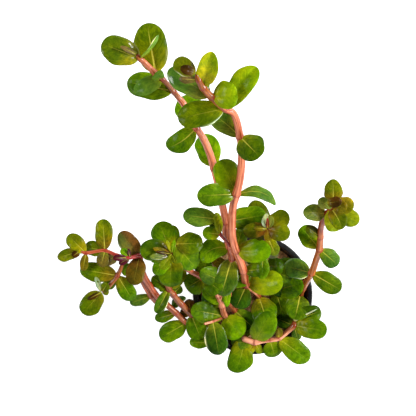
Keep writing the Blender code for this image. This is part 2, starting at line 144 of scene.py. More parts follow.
# Shares of a leaf's colour
BRIGHTNESS = (-0.12, 0.12)
HALVES_SHARPNESS = 3
HEART_FALL = 0.7
PALE_BASE_FALL = 7
TIP_SHADE = 0.15
RED_AT_STALK = 1.08
RED_FALL = 0.16
PALE_BASE = 0.75
# Where across the blade a painted edge highlight starts, how softly it starts, and how far along it reaches
EDGE_HIGHLIGHT_START = 0.86
EDGE_HIGHLIGHT_SOFTNESS = 0.1
EDGE_HIGHLIGHT_REACH = 0.2
# Numbers that each point of a blade carries for its finish
BLADE_NUMBERS = ("off_rib", "ribbing", "lot", "shine")

# Stems
SAMPLE_STEP = 0.55
STEM_SIDES = 22
RIDGES = 5
RIDGE_DEPTH = 0.018
RIDGE_TWIST = 0.06
JOINT_SWELLING = 0.15
JOINT_REACH = 0.9
JOINT_RING = 0.9
RING_WIDTH = 0.55
SPOT_REACH = 3.5
# Where a stem's skin faces less upward than this share, it is painted darker as painted shade
UNDERSIDE_FROM = 0.6
LOTS = 17
LOT_LENGTH = 40


class Stem(NamedTuple):
    """A route of (across, down, height, thickness) from foot to tip, and its skin at both ends.

    Around a route point in spots the skin is the one named there.
    """

    route: list
    foot_skin: str = "salmon"
    tip_skin: str = "salmon"
    spots: dict = {}


class Leaf(NamedTuple):
    """A leaf from a stem's route point to its tip (across, down, height).

    light is the half that is painted lighter, from -1, right of the midrib as the leaf points, to 1, left of
    it:
    painted light and shade of the folded blade, partly the leaf's own two tones. bow bends the midrib to the
    left, rib is how strong its ribs are, heart is how brown (or, below 0, golden) the blade is near its stem,
    and shine is how much it gleams. widest is the share of its length at which it is widest, and full is how
    blunt its tip is. rim is how pale a painted highlight makes its left edge (or, below 0, its right
    one), about the share rim_at of its length.
    """

    point: int
    tip: tuple
    width: float
    tone: str
    own: bool = False
    arch: float = 0.06
    fold: float = 8.0
    roll: float = 0.0
    bow: float = 0.0
    light: float = 0.3
    rib: float = 1.0
    heart: float = 0.0
    shine: float = 0.08
    widest: float = 0.54
    full: float = 2.3
    rim: float = 0.0
    rim_at: float = 0.2


def own(*place, **form):
    """A leaf that replaces a solid of its own."""
    return Leaf(*place, own=True, **form)


STEMS = {
    "tall_right": Stem([
        (260, 300, 40, 1.9), (259, 296.5, 49, 2), (253, 290.5, 55, 2.1), (246.5, 285, 61, 3),
        (243.5, 271, 70, 3.2), (240, 260, 77, 3.1), (236, 250.5, 83, 3.1), (232.5, 238, 90, 3.1),
        (232, 222, 97, 3.1), (233, 207, 103, 3), (236.5, 194, 108, 3.1), (240, 180, 113, 2.9),
        (241.5, 165, 117, 2.9), (241.5, 150, 121, 2.8), (240, 137, 125, 2.8), (237, 122, 129, 2.7),
        (233, 113, 132, 2.6), (225, 108.5, 135, 2.5), (211.5, 97, 140, 2.6), (203, 87.5, 144, 2.5),
        (198.5, 80, 147, 2), (196, 73.5, 148.6, 1.2)],
        # The pale spot near the foot is painted highlight; the rust towards the tip is the stem's own
        spots={0: "orange", 1: "orange", 2: "pale", 18: "rust", 19: "rust", 20: "rust", 21: "rust"}),
    "tall_left": Stem([
        (236, 314, 40, 2.2), (234.5, 310, 50, 2.3), (229.5, 300, 57, 2.4), (228.5, 284, 63, 2.6),
        (230, 269, 68, 2.8), (232, 257.5, 73, 2.9), (229.5, 247, 78, 3), (226, 233, 84, 3),
        (225.5, 222, 88, 3.1), (224, 212, 91.5, 3), (221.5, 201, 95, 3), (218, 184, 99.5, 2.9),
        (214, 168, 104, 3), (209.5, 153, 108, 2.8), (203.5, 139, 112, 2.7), (196.5, 128, 115.5, 2.6),
        (190, 116, 118.5, 2.4), (184, 104.5, 121.5, 2.4), (178.5, 97.5, 123.5, 2.2), (173.5, 91.5, 126, 2),
        (168.5, 85.5, 128.5, 1.9), (162.5, 79, 131, 2), (156, 74, 133, 2.4), (150, 68, 135, 2.2),
        (144.5, 62.5, 137, 2.1), (140, 59, 138.5, 1.8), (137, 54.5, 140, 1.2)],
        spots={19: "rust", 20: "rust", 21: "rust", 26: "rust"}),
    "small_shoot": Stem([
        (230, 246.5, 83, 1.2), (225.5, 240.5, 86.5, 1.3), (220.5, 234.5, 88.5, 1.3), (218.5, 227, 90, 1.1),
        (216.5, 219, 92.5, 1)], "crimson", "maroon"),
    "right": Stem([
        (297.5, 300, 40, 2.3), (300.5, 294, 49.5, 2.4), (305.5, 283, 57, 2.7), (311.5, 273, 64, 2.8),
        (316, 260.5, 72, 2.7), (319.5, 249, 79, 2.7), (320.5, 237, 86, 2.5), (321, 228, 91, 2.4),
        (323.5, 220, 96, 2.8), (327.5, 213.5, 100, 2.6), (331, 208, 104, 1.8), (333.3, 201.5, 107.5, 1.5),
        (326.5, 203.3, 109, 0.8)],
        "orange", "orange", spots={7: "maroon", 8: "maroon", 9: "maroon", 12: "rust"}),
    "centre": Stem([
        (277, 298, 40, 2), (275.5, 290, 51, 2.1), (271, 277, 57, 2.1), (264, 266, 62, 2.1),
        (263, 254, 70, 2), (265.5, 243, 79, 1.9), (267, 235.5, 87.5, 1.9), (267.6, 228.6, 94, 1.5)],
        "orange", "maroon"),
    "left_rosette": Stem([
        (232, 321, 40, 2.3), (225, 316, 49.5, 2.5), (222, 306.5, 55, 2.5), (218.5, 296, 60, 2.4),
        (212, 286, 65, 2.3), (203, 278, 69.5, 2.3), (192, 272, 73, 2.1), (184, 267, 76, 1.9),
        (177, 260.5, 79, 1.8), (172, 254, 82, 1.6), (175.3, 244, 84.5, 1.2)],
        # The pale spots on its low part are painted light, against the shade that part lies in
        "salmon", "rose", spots={1: "pale", 2: "pale", 3: "pale"}),
    "left_low": Stem([
        (213, 311.5, 40, 2.4), (208, 313, 49, 2.4), (199, 314.5, 53, 2.5), (191, 314, 55.5, 2.7),
        (181, 304, 60, 2.6), (173, 294.5, 64, 2.5), (169, 289, 66.5, 2.5), (165, 279, 70.5, 1.8)],
        "tan", "tan"),
    "left_long": Stem([
        (222, 325, 40, 2.2), (216, 327, 50, 2.3), (205, 326.5, 52.8, 2.3), (187, 322.5, 53.5, 2.5),
        (176, 313, 57, 2.5), (165, 303, 61, 2.5), (157, 296, 64, 2.5), (150, 286, 68, 2.5),
        (143.8, 275.5, 73, 2.5), (141, 264, 78, 2.1), (139.5, 256, 81.5, 1.9), (130, 257.5, 84.5, 1.5),
        (118, 255.5, 86, 1.4), (105, 250.5, 87, 1.4), (95, 251.5, 87.5, 1.3), (86, 253, 87.5, 1.4),
        (80, 251, 87.6, 1)],
        "tan", "rose",
        spots={6: "coral", 7: "coral", 8: "coral", 10: "crimson", 11: "crimson", 12: "crimson"}),
    "left_fork": Stem([
        (158, 304, 60.5, 2), (151.5, 296, 63, 2.5), (146, 287, 66.5, 2.5), (140.5, 277.5, 70.5, 2.1),
        (134, 269, 74, 1.7)], "tan", "coral", spots={2: "coral"}),
    "hanging_shoot": Stem([
        (123.5, 259, 84.6, 1.3), (121, 268, 83, 1.6), (117.5, 275.5, 82.5, 1.9), (112.5, 282, 82, 1.8),
        (107.5, 288, 81.5, 1.4), (102, 292, 81, 1.2)], "tan", "tan"),
    "front_left": Stem([
        (233, 329, 40, 1.6), (228, 334, 49.5, 1.6), (219, 340, 51.8, 1.6), (211, 343, 52.3, 1.4)],
        "coral", "coral"),
    "front_left_shoot": Stem([
        (222, 318, 51.5, 1), (213, 321.5, 56.5, 1), (204, 324, 60, 1)], "tan", "pale"),
    "creeping": Stem([
        (240, 334, 40, 2.4), (244, 338.5, 51, 2.5), (254.5, 342, 52.5, 2.6), (262, 341, 53, 2),
        (270, 340, 53.4, 1.8), (279, 338.5, 53.8, 1.8), (287, 332, 54, 2), (294, 325.5, 54.3, 2.3),
        (293, 321, 54, 1.4)], "pale", "pale", spots={7: "tan", 8: "tan"}),
}

LEAVES = {
    "tall_right": [
        own(1, (268, 325, 55), 11, "green", light=1, rib=1.5, heart=-1),
        own(3, (283, 280.5, 70), 10.2, "citrus", light=0.2, rib=0.5, heart=-0.5),
        own(3, (236, 308, 58), 8.4, "shaded_dark", rib=1.4), Leaf(3, (238.5, 285, 63), 2.6, "crimson"),
        Leaf(6, (242, 228.5, 79), 6.2, "grove", light=0.9, heart=-0.3),
        own(6, (271, 251, 88), 9.6, "bright", light=-0.2, rib=0.3, heart=-0.6),
        own(10, (197, 196, 110), 8.7, "green", light=-0.5, shine=0.5, rim=-0.9, rim_at=0.22),
        own(10, (276, 204, 104), 5.5, "teal", arch=0.16, roll=-30, bow=0.12),
        own(10, (220, 160, 110), 10, "split", fold=9, light=1, rib=0.5, heart=0.4),
        own(14, (260, 157, 133), 10.6, "dark", light=0.4, rib=1.4),
        own(14, (207, 112, 121), 7.6, "teal", light=0.7, bow=-0.05, heart=0.5),
        own(17, (178, 119, 134), 9.7, "grove", light=-0.4, rib=0.7, rim=1),
        own(17, (257, 67, 141), 8.6, "citrus", fold=22, rib=0.4, light=0.5, widest=0.64, bow=0.03),
        own(18, (237.5, 94, 143), 10.2, "citrus", rib=0.4, heart=-0.3),
        own(18, (168, 70, 140), 8.9, "jade", light=0.5, rib=0.5, heart=0.6, shine=0.6),
        own(21, (174, 61, 150), 6.4, "olive", light=0.4, fold=3, heart=0.4, rib=0.3, rim=0.6, rim_at=0.5),
        own(19, (212, 51.5, 153), 7.4, "straw", fold=24, light=1, heart=-0.8, rib=0.4, full=1.7),
        Leaf(19, (208, 83, 141), 2.6, "green"), Leaf(20, (179, 79, 147), 3, "mauve", light=-0.6),
        Leaf(21, (180.5, 67.5, 151.5), 3.4, "umber", arch=0.1, rib=0), Leaf(4, (263, 269, 73), 6, "dark"),
        Leaf(4, (224, 276, 66), 5, "dark"),
    ],
    "tall_left": [
        own(5, (221, 296, 69), 9.7, "deep", light=-0.3, rib=1.7, heart=-0.6, shine=0.6),
        own(6, (200.5, 259.5, 80), 8.6, "fresh", light=-0.3, bow=-0.16),
        own(8, (266, 214.5, 92), 9, "green", light=0.8), own(12, (203, 134, 100), 9.3, "bright", light=-1),
        own(15, (167, 148, 113), 8.3, "green", bow=0.08, rib=1.4, light=-0.3),
        own(15, (185, 95, 112), 11, "bright", light=-0.8),
        own(19, (127, 82, 124), 9.6, "green", rib=1.7, light=-0.2),
        own(22, (147, 23, 132), 12.2, "grove", arch=0.02, fold=4, light=0.5, rib=2.2, heart=-0.5),
        own(21, (134, 92, 131), 6.2, "jade", arch=0.16, rib=0.3, shine=0.1, widest=0.48),
        Leaf(21, (159, 70.5, 137), 4.6, "jade", arch=0.1, rib=0, light=0, bow=0.2),
        own(25, (101.5, 43.5, 141), 10.4, "grove", light=-0.3, heart=-0.5, rib=1.2, shine=0.5),
        own(25, (158, 35, 146), 4.4, "jade", roll=80, rim=0.9, rim_at=0.85),
        Leaf(26, (120.5, 46.5, 144), 1.8, "mauve"), Leaf(3, (226.5, 307, 61), 2.8, "lime"),
        Leaf(1, (258, 332, 49), 8.5, "shaded_dark", light=0.8), Leaf(2, (203, 288, 59), 8.5, "green"),
        Leaf(3, (200, 271, 77), 8, "dark", light=-0.7), Leaf(3, (250, 276, 64), 6.5, "bright"),
        Leaf(2, (251, 301, 53), 6.5, "shaded_dark"), Leaf(4, (212, 258, 72), 4.5, "bronze"),
    ],
    "small_shoot": [
        own(4, (183, 215, 94), 7.7, "teal"), Leaf(2, (215, 213, 95), 4.4, "gold", light=-0.5, roll=40),
        Leaf(3, (209, 222, 91), 3, "dark"), Leaf(2, (202.5, 232, 89), 5.4, "fresh", heart=-0.7),
    ],
    "right": [
        own(1, (294.5, 319.5, 58), 9.9, "dark", light=-0.2, rib=1.7, rim=-0.8, rim_at=0.1),
        own(3, (341, 290, 62), 8, "dark", rib=1.3, light=0.2),
        own(3, (284, 265.5, 61), 8.2, "jade", light=-0.4, shine=0.8, rim=1),
        own(5, (338, 265, 75), 7, "teal", light=0.9), Leaf(3, (277, 262, 58.5), 6.6, "dark", light=0.4),
        own(5, (301, 227, 82), 8, "fresh", light=-0.3, heart=-0.3),
        Leaf(9, (303, 212, 103), 6.6, "sage", light=0.6, heart=0.5, widest=0.5, full=1.8),
        Leaf(10, (336.5, 231.5, 99), 7.8, "straw", light=0.2, heart=-0.3, rib=0.4, widest=0.62),
        Leaf(10, (359, 222.5, 104), 7, "gold", heart=-0.6, rib=0.6),
        Leaf(10, (354, 203, 108), 6.6, "amber", light=1, heart=-0.3, rib=0.4),
        Leaf(10, (342.5, 229, 106), 6.4, "olive", light=-0.4, rib=1.2, heart=0.8, bow=0.04),
        Leaf(10, (318.5, 199.5, 105), 4.4, "sage", light=0.8, shine=0.3),
        Leaf(11, (333, 179, 109), 7.2, "olive", heart=0.6, light=-0.3, rib=1.2, widest=0.36, full=1.8),
        Leaf(12, (341.5, 201, 110.6), 4, "umber", arch=0.1, fold=6, rib=0.5, full=2.8),
        Leaf(11, (340, 206, 109.6), 2.6, "amber", heart=0.8), Leaf(11, (326, 207, 109.4), 3.4, "sage"),
        Leaf(11, (346, 210, 109), 4.8, "bronze", heart=1, light=0.2),
        Leaf(6, (306, 226.5, 92), 4, "moss", light=0.7),
    ],
    "centre": [
        own(1, (303, 283, 61), 10.2, "bright"),
        own(3, (283.5, 266, 70), 7.5, "green", light=-0.6, shine=0.12), Leaf(3, (292, 279, 60), 7, "dark"),
        own(6, (253, 200.5, 87), 8, "olive", light=-0.6), own(6, (276, 255.5, 84), 5.2, "olive", rib=1.3),
        Leaf(1, (284, 318, 47.8), 8, "dark", arch=0, fold=2),
        Leaf(7, (288, 213, 95.5), 7.2, "olive", heart=-1, light=-0.4, rib=0.4),
        Leaf(7, (290, 235, 96.5), 7.2, "olive", heart=1, light=0.4, rib=0.5),
        Leaf(7, (243, 232, 94), 6.2, "moss", light=-0.5, heart=1, rib=0.5),
        Leaf(7, (251.5, 237, 84), 5.6, "moss", light=-0.3),
        # The near-white blades in this list are painted sheen
        Leaf(7, (266, 213.5, 98), 3.2, "painted_sheen", roll=24, shine=0.6, bow=0.12, rim=0.8, rim_at=0.5),
        Leaf(7, (267.3, 218, 99), 1.1, "crimson", arch=0.1),
        Leaf(7, (271.5, 216, 98), 2.2, "sage", bow=-0.1),
        Leaf(7, (268.5, 241, 94.5), 3.4, "bronze", heart=0.9, rib=0.6),
        Leaf(4, (278.5, 255.5, 78), 2.8, "painted_sheen"), Leaf(7, (254, 228, 95), 2.2, "bronze", arch=0.1),
        Leaf(4, (247, 263, 68), 5.5, "shaded_dark"), Leaf(4, (262, 279, 71), 5.5, "green"),
        Leaf(4, (275, 250, 72), 6, "shaded_dark"), Leaf(2, (259, 292, 54), 6.5, "shaded_dark"),
        Leaf(2, (284, 296, 52), 6.5, "shaded_dark"),
    ],
    "left_rosette": [
        own(1, (241, 337, 55), 10.8, "lime", light=0.2, heart=-0.2, rib=0.6),
        own(1, (191, 309, 60), 9.4, "dark", light=0.5), own(5, (186, 288, 67), 9.6, "dark", light=-0.6),
        Leaf(9, (170, 287, 77), 9.8, "dark", light=-0.5, rib=0.6, heart=-0.6),
        Leaf(10, (203, 243, 82.5), 8.8, "grove", rib=0.8, heart=0.5), Leaf(5, (206, 259, 72), 6, "dark"),
        Leaf(9, (159, 222, 84), 9.8, "green", light=0.2, heart=-1, widest=0.6),
        Leaf(9, (172, 225, 83.5), 6.6, "grove", heart=-1, rib=0.5),
        Leaf(9, (140, 248, 86), 8.8, "dark", light=0.5, heart=0.6, rib=0.4, shine=0.25),
        Leaf(9, (151, 261, 84), 3.5, "green"), Leaf(9, (154, 274, 79), 6, "bright"),
        Leaf(10, (196, 268, 77), 9.4, "green", rib=0.8, light=-0.4, heart=0.3),
        Leaf(9, (174.5, 239.5, 88), 1.7, "lime", arch=0.1),
        Leaf(9, (161, 269, 84), 4.4, "gold", light=-0.5, heart=-0.3),
        Leaf(9, (153, 248, 88), 2.2, "bronze", light=0.6, heart=0.8),
        Leaf(9, (150, 257, 87.5), 3, "sage", heart=0.7, roll=-14, shine=0.8, rim=0.9, rim_at=0.6),
        Leaf(9, (176, 264, 85), 2, "olive", arch=0.1), Leaf(9, (156, 251.5, 88.2), 1.4, "umber", arch=0.08),
        Leaf(9, (166.5, 240, 88.5), 1.5, "gold", heart=0.7),
        Leaf(9, (167, 258.5, 88), 1.5, "olive", heart=0.4), Leaf(5, (221, 291, 71), 8.4, "dark"),
        Leaf(5, (196, 250, 71), 5.5, "shaded_dark"), Leaf(3, (235, 296, 57), 6, "shaded_dark"),
        Leaf(2, (203, 293, 52), 7, "shaded_dark"),
    ],
    "left_low": [
        Leaf(3, (201, 339, 54), 9, "green", arch=0.02), Leaf(6, (152, 277, 68), 5.5, "dark"),
        Leaf(6, (184, 268, 69), 6.4, "olive"), Leaf(4, (180, 296, 57), 4.4, "shaded_dark"),
        Leaf(3, (188.5, 299, 53), 4.4, "umber"), Leaf(4, (172, 301, 57), 5, "shaded_dark"),
        Leaf(3, (180, 312, 54), 4.2, "umber"), Leaf(6, (159, 286, 67), 4, "dark"),
        Leaf(5, (181, 286, 62), 4, "dark"),
        Leaf(6, (156, 313, 66), 4.8, "deep", light=-0.6, fold=20, rib=1.2, rim=0.8, rim_at=0.5),
    ],
    "left_long": [
        Leaf(3, (160, 338, 51), 8.2, "green"), Leaf(4, (155, 319, 54), 4.8, "green", heart=0.4),
        Leaf(5, (158, 311, 57), 3.6, "teal", light=0.5),
        Leaf(10, (120, 232, 85), 7.4, "dusk", light=0.9, heart=0.7, shine=0.8, rib=0.4, rim=0.6, rim_at=0.75),
        own(10, (133, 285, 84), 7.5, "garnet", light=0.4, heart=1, rib=0.6),
        Leaf(11, (121, 249, 87), 3, "bright"), Leaf(12, (103, 262, 85), 5, "mauve", light=-0.4),
        Leaf(13, (103, 219, 88), 7, "olive", heart=0.8, light=0.5, rib=1.3),
        Leaf(13, (84.5, 247, 85), 6, "grove", heart=0.4), Leaf(13, (101, 267, 86), 5, "dusk", light=0),
        Leaf(15, (83, 271, 85), 3.4, "bronze", heart=0.5),
        Leaf(15, (68, 235, 88), 6.2, "olive", light=0.5, heart=-0.6),
        Leaf(16, (57.5, 258, 87), 4.8, "olive", heart=0.6, light=0.4),
        Leaf(16, (72.5, 256.5, 88.4), 2.8, "umber"), Leaf(11, (128.5, 248.5, 88), 1.4, "purple", shine=0.4),
        Leaf(11, (119, 264, 86), 2.8, "purple", shine=0.12),
        Leaf(11, (113, 258, 88), 2.8, "purple", shine=0.12),
    ],
    "left_fork": [
        Leaf(1, (130, 303, 61), 4.8, "teal", light=0.4), Leaf(4, (121, 270, 77), 5, "green", heart=0.5),
    ],
    "hanging_shoot": [
        Leaf(2, (80, 269, 82.5), 7.8, "grove", light=0.5, heart=0.8), Leaf(2, (104, 288, 78.5), 5, "green"),
        Leaf(2, (133, 300, 79), 6.8, "green", heart=0.6, light=0),
        # The near-white blade here is painted sheen
        Leaf(5, (95.5, 277, 84), 2.2, "painted_sheen", fold=20), Leaf(4, (104.5, 295, 79.5), 2.6, "olive"),
        own(5, (82.5, 313.5, 79), 8.4, "grove", heart=0.4, light=-0.2, rib=0.7),
        Leaf(5, (87.5, 299.5, 82), 1.9, "umber"), Leaf(5, (107.5, 283.5, 84), 4, "olive", heart=0.6),
    ],
    "front_left": [
        Leaf(3, (189.5, 342, 51), 5, "fresh", light=0.8),
    ],
    "front_left_shoot": [
        Leaf(1, (219, 355, 54), 9.2, "shaded_dark", light=0.6, shine=0.3, rim=-0.9, rim_at=0.5),
    ],
    "creeping": [
        own(2, (272, 312, 60), 9.8, "green", fold=14, light=-1, rib=0.5, shine=0.2),
        own(1, (233.5, 372.5, 50), 10.6, "green", heart=-0.4, rib=0.7, bow=0.07),
        own(5, (309, 360.5, 52), 9.1, "green", rib=0.8, light=-0.3, heart=-0.25),
        own(7, (327, 331, 58.5), 9, "green", light=-0.3, rib=0.8, heart=-0.5),
        Leaf(2, (261.5, 353.5, 51), 3.2, "gold", heart=0.6),
        Leaf(2, (248, 352.5, 50.8), 4.2, "gold", heart=1, light=0.5), Leaf(2, (231, 342, 49.6), 6, "deep"),
        Leaf(4, (275, 357, 50.5), 8, "green"), Leaf(5, (279, 328, 58), 3, "bronze"),
        Leaf(7, (298, 340, 50.3), 4.2, "teal"), Leaf(8, (321, 310.5, 55), 8, "dark", light=-0.6, rib=1.6),
        # A thin near-white blade: a painted glint along a leaf's midrib
        Leaf(8, (317, 309, 57.5), 0.6, "painted_glint", arch=0.04), Leaf(1, (248, 316, 47), 7, "shaded_dark"),
        Leaf(7, (276, 318, 50), 6, "shaded_dark"),
    ],
}

# The two halves of a tone are painted shade and painted light of a folded blade, partly the leaf's own two
# tones.
# Each tone: its shaded half, its light half, and the name of a slot, which nothing here reads
TONES = {
    "dark": ((41, 64, 1), (78, 105, 3), "dark"),
    # The next tone is a dark green darkened further: painted shade, for leaves that lie under others
    "shaded_dark": ((25, 49, 4), (55, 90, 9), "dark"),
    "deep": ((37, 62, 5), (80, 111, 18), "dark"),
    "moss": ((40, 36, 1), (76, 88, 2), "olive"),
    "grove": ((62, 82, 1), (90, 108, 2), "green"),
    "green": ((52, 81, 1), (89, 122, 3), "green"),
    "fresh": ((72, 102, 1), (86, 118, 2), "green"),
    "teal": ((47, 78, 14), (90, 120, 40), "green"),
    "jade": ((62, 100, 28), (86, 122, 44), "green"),
    "sage": ((76, 92, 20), (114, 124, 62), "green"),
    "bright": ((76, 116, 1), (101, 139, 2), "bright"),
    "split": ((60, 72, 1), (109, 139, 2), "bright"),
    "lime": ((86, 126, 1), (108, 142, 4), "bright"),
    "gold": ((92, 106, 3), (138, 144, 18), "bright"),
    "citrus": ((108, 134, 2), (134, 154, 12), "bright"),
    "straw": ((112, 130, 3), (158, 160, 22), "bright"),
    "amber": ((118, 112, 8), (154, 136, 32), "bright"),
    "olive": ((69, 78, 2), (106, 116, 7), "olive"),
    "bronze": ((84, 76, 6), (118, 98, 14), "olive"),
    "umber": ((34, 18, 4), (76, 48, 10), "olive"),
    "mauve": ((88, 72, 38), (118, 98, 66), "young"),
    "dusk": ((88, 54, 24), (86, 94, 38), "young"),
    "garnet": ((66, 50, 8), (92, 78, 18), "young"),
    "crimson": ((80, 10, 20), (140, 30, 40), "young"),
    "purple": ((40, 8, 22), (86, 22, 42), "young"),
    # The next two tones are near white: the small blades in them are painted sheen and a painted glint line
    "painted_sheen": ((108, 114, 80), (160, 174, 146), "green"),
    "painted_glint": ((190, 190, 176), (226, 226, 214), "green"),
}
RIB_COLOUR = (186, 178, 62)
BASE_COLOUR = (146, 150, 24)
HEART_COLOUR = (100, 58, 18)
GOLD_COLOUR = (130, 114, 10)
# The near white of a painted highlight on a leaf's edge
EDGE_HIGHLIGHT_COLOUR = (232, 240, 220)
BACK_COLOUR = (150, 150, 90)
BACK_PINK = (150, 84, 66)
BACK_RIB_COLOUR = (184, 160, 100)

# What a leaf's markings multiply its tone by
BROAD_SHADE = (0.74, 0.84, 0.7)
BROAD_LIGHT = (1.24, 1.12, 0.7)
PATCH_SHADE = (0.8, 0.85, 0.85)
PATCH_LIGHT = (1.18, 1.12, 1.0)
STREAK_SHADE = (0.45, 0.55, 0.6)
STREAK_LIGHT = (1.5, 1.36, 1.2)
SPECK_LIGHT = (1.6, 1.5, 1.8)
VEIN_LIGHT = (1.7, 1.5, 1.6)
# EDGE_SHADE darkens a blade towards its edge: partly the margin's own deeper green, partly painted shade
# along the outline
EDGE_SHADE = (0.6, 0.55, 0.5)
# Side veins: how many, how far the blade's edge lags, and how much they curve
VEINS = 8.5
VEIN_SLANT = 2.6
VEIN_CURVE = 1.25

# Each skin: its streaks, dark and light
SKINS = {
    "salmon": ((136, 54, 22), (212, 124, 86)),
    "orange": ((136, 66, 18), (192, 110, 54)),
    "coral": ((138, 52, 20), (196, 106, 68)),
    # pale is a pale pink skin, and where a spot lays it on a darker stem it is painted light
    "pale": ((162, 88, 50), (228, 158, 124)),
    "tan": ((100, 50, 14), (146, 82, 40)),
    "rose": ((118, 42, 14), (178, 86, 52)),
    "rust": ((100, 48, 2), (140, 78, 12)),
    "crimson": ((112, 16, 20), (158, 44, 42)),
    "maroon": ((98, 32, 6), (128, 50, 12)),
}
RING_COLOUR = (120, 24, 18)
# What a stem's colours are multiplied by where the skin faces down: painted shade, which darkens its sides
# and underside
PAINTED_UNDERSIDE_SHADE = Vector((0.62, 0.42, 0.34))
# Fine pale streaks on a stem: partly the skin's own pale stripes, partly painted glints
SKIN_STREAK_AND_GLINT = (1.2, 1.4, 1.5)
BLOTCH_SHADE = (0.7, 0.5, 0.5)

WOOL_COLOURS = ((122, 84, 48), (208, 160, 110))
PIT_COLOUR = (40, 26, 18)
FIBRE_COLOURS = ((116, 78, 46), (226, 186, 140))
PLASTIC_COLOURS = ((8, 8, 12), (36, 37, 44))

# Each lamp: its place, its width and height, and its power
LAMPS = {
    "key_soft_box": ((0.72, 0.2, 0.72), (0.24, 0.24), 11.0),
    "right_soft_box": ((0.86, -0.12, 0.3), (0.36, 0.14), 7.0),
    "left_soft_box": ((-0.7, 0.1, 0.7), (0.3, 0.3), 6.0),
}
LAMPS_FACE = Vector((-0.01, 0.02, 0.07))
# The room's glow along each direction: where its change starts and ends, and the glow at both
GLOW = {"Z": (0.15, 0.62, 1.9, 0.12), "X": (-0.4, 0.5, 0.7, 1.25)}
TABLE_GLOW = 0.36
TABLE_REACH = 4.0


def linear(colour):
    """A colour of 0 to 255 as a screen shows it, as the shaders count it."""
    return Vector([((step / 255 + 0.055) / 1.055) ** 2.4 if step > 10 else step / 3295 for step in colour])


def seen_at(across, down, height):
    """The real place of a point that is seen at across, down and lies at a height above the table."""
    mm_per_step = (EYE_HEIGHT - height) / (STEPS_PER_MM_AT_RIM * (EYE_HEIGHT - POT_HEIGHT))
    x = (PICTURE_MIDDLE - POT_SEEN_ACROSS) / STEPS_PER_MM_AT_RIM + (across - PICTURE_MIDDLE) * mm_per_step
    y = (POT_SEEN_DOWN - PICTURE_MIDDLE) / STEPS_PER_MM_AT_RIM - (down - PICTURE_MIDDLE) * mm_per_step
    return Vector((x, y, height))


def clamped(value):
    return min(1.0, max(0.0, value))


def bell(distance, reach):
    """1 at no distance, and next to nothing at twice the reach."""
    return math.exp(-(distance / reach) ** 2)


def name_number(name):
    return sum(map(ord, name))


def to_metres(bm):
    bmesh.ops.scale(bm, vec=Vector((MM, MM, MM)), verts=bm.verts)


def add_object(name, data):
    made = bpy.data.objects.new(name, data)
    bpy.context.scene.collection.objects.link(made)
    return made


def as_mesh(name, bm):
    """The mesh of a bmesh, which is freed."""
    mesh = bpy.data.meshes.new(name)
    bm.to_mesh(mesh)
    bm.free()
    return mesh


def add_piece(name, bm, finishes, nodes):
    """The object of a mesh made in millimetres, which rides with the pot and stands for the nodes."""
    to_metres(bm)
    bmesh.ops.remove_doubles(bm, verts=bm.verts, dist=SAME_PLACE)
    bmesh.ops.recalc_face_normals(bm, faces=bm.faces)
    for face in bm.faces:
        face.smooth = True
    piece = add_object(name, as_mesh(name, bm))
    for finish in finishes:
        piece.data.materials.append(finish)
    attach(piece, "root")
    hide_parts(*nodes)
    return piece


class Socket:
    """An output of a material's node. Sums on it are written as Python sums, and add Math nodes."""

    def __init__(self, finish, socket):
        self.finish = finish
        self.socket = socket

    def work(self, operation, *values):
        return self.finish.node("ShaderNodeMath", {"operation": operation}, dict(enumerate(values)))

    def __add__(self, other):
        return self.work("ADD", self, other)

    def __sub__(self, other):
        return self.work("SUBTRACT", self, other)

    def __mul__(self, other):
        return self.work("MULTIPLY", self, other)

    def __pow__(self, other):
        return self.work("POWER", self, other)

    def __abs__(self):
        return self.work("ABSOLUTE", self)

    def rest(self):
        """The part after the decimal point."""
        return self.work("FRACT", self)

    def step(self, start, end, low=0.0, high=1.0):
        """A smooth step from low to high between start and end."""
        values = {"Value": self, "From Min": start, "From Max": end, "To Min": low, "To Max": high}
        return self.finish.node("ShaderNodeMapRange", {"interpolation_type": "SMOOTHSTEP"}, values)


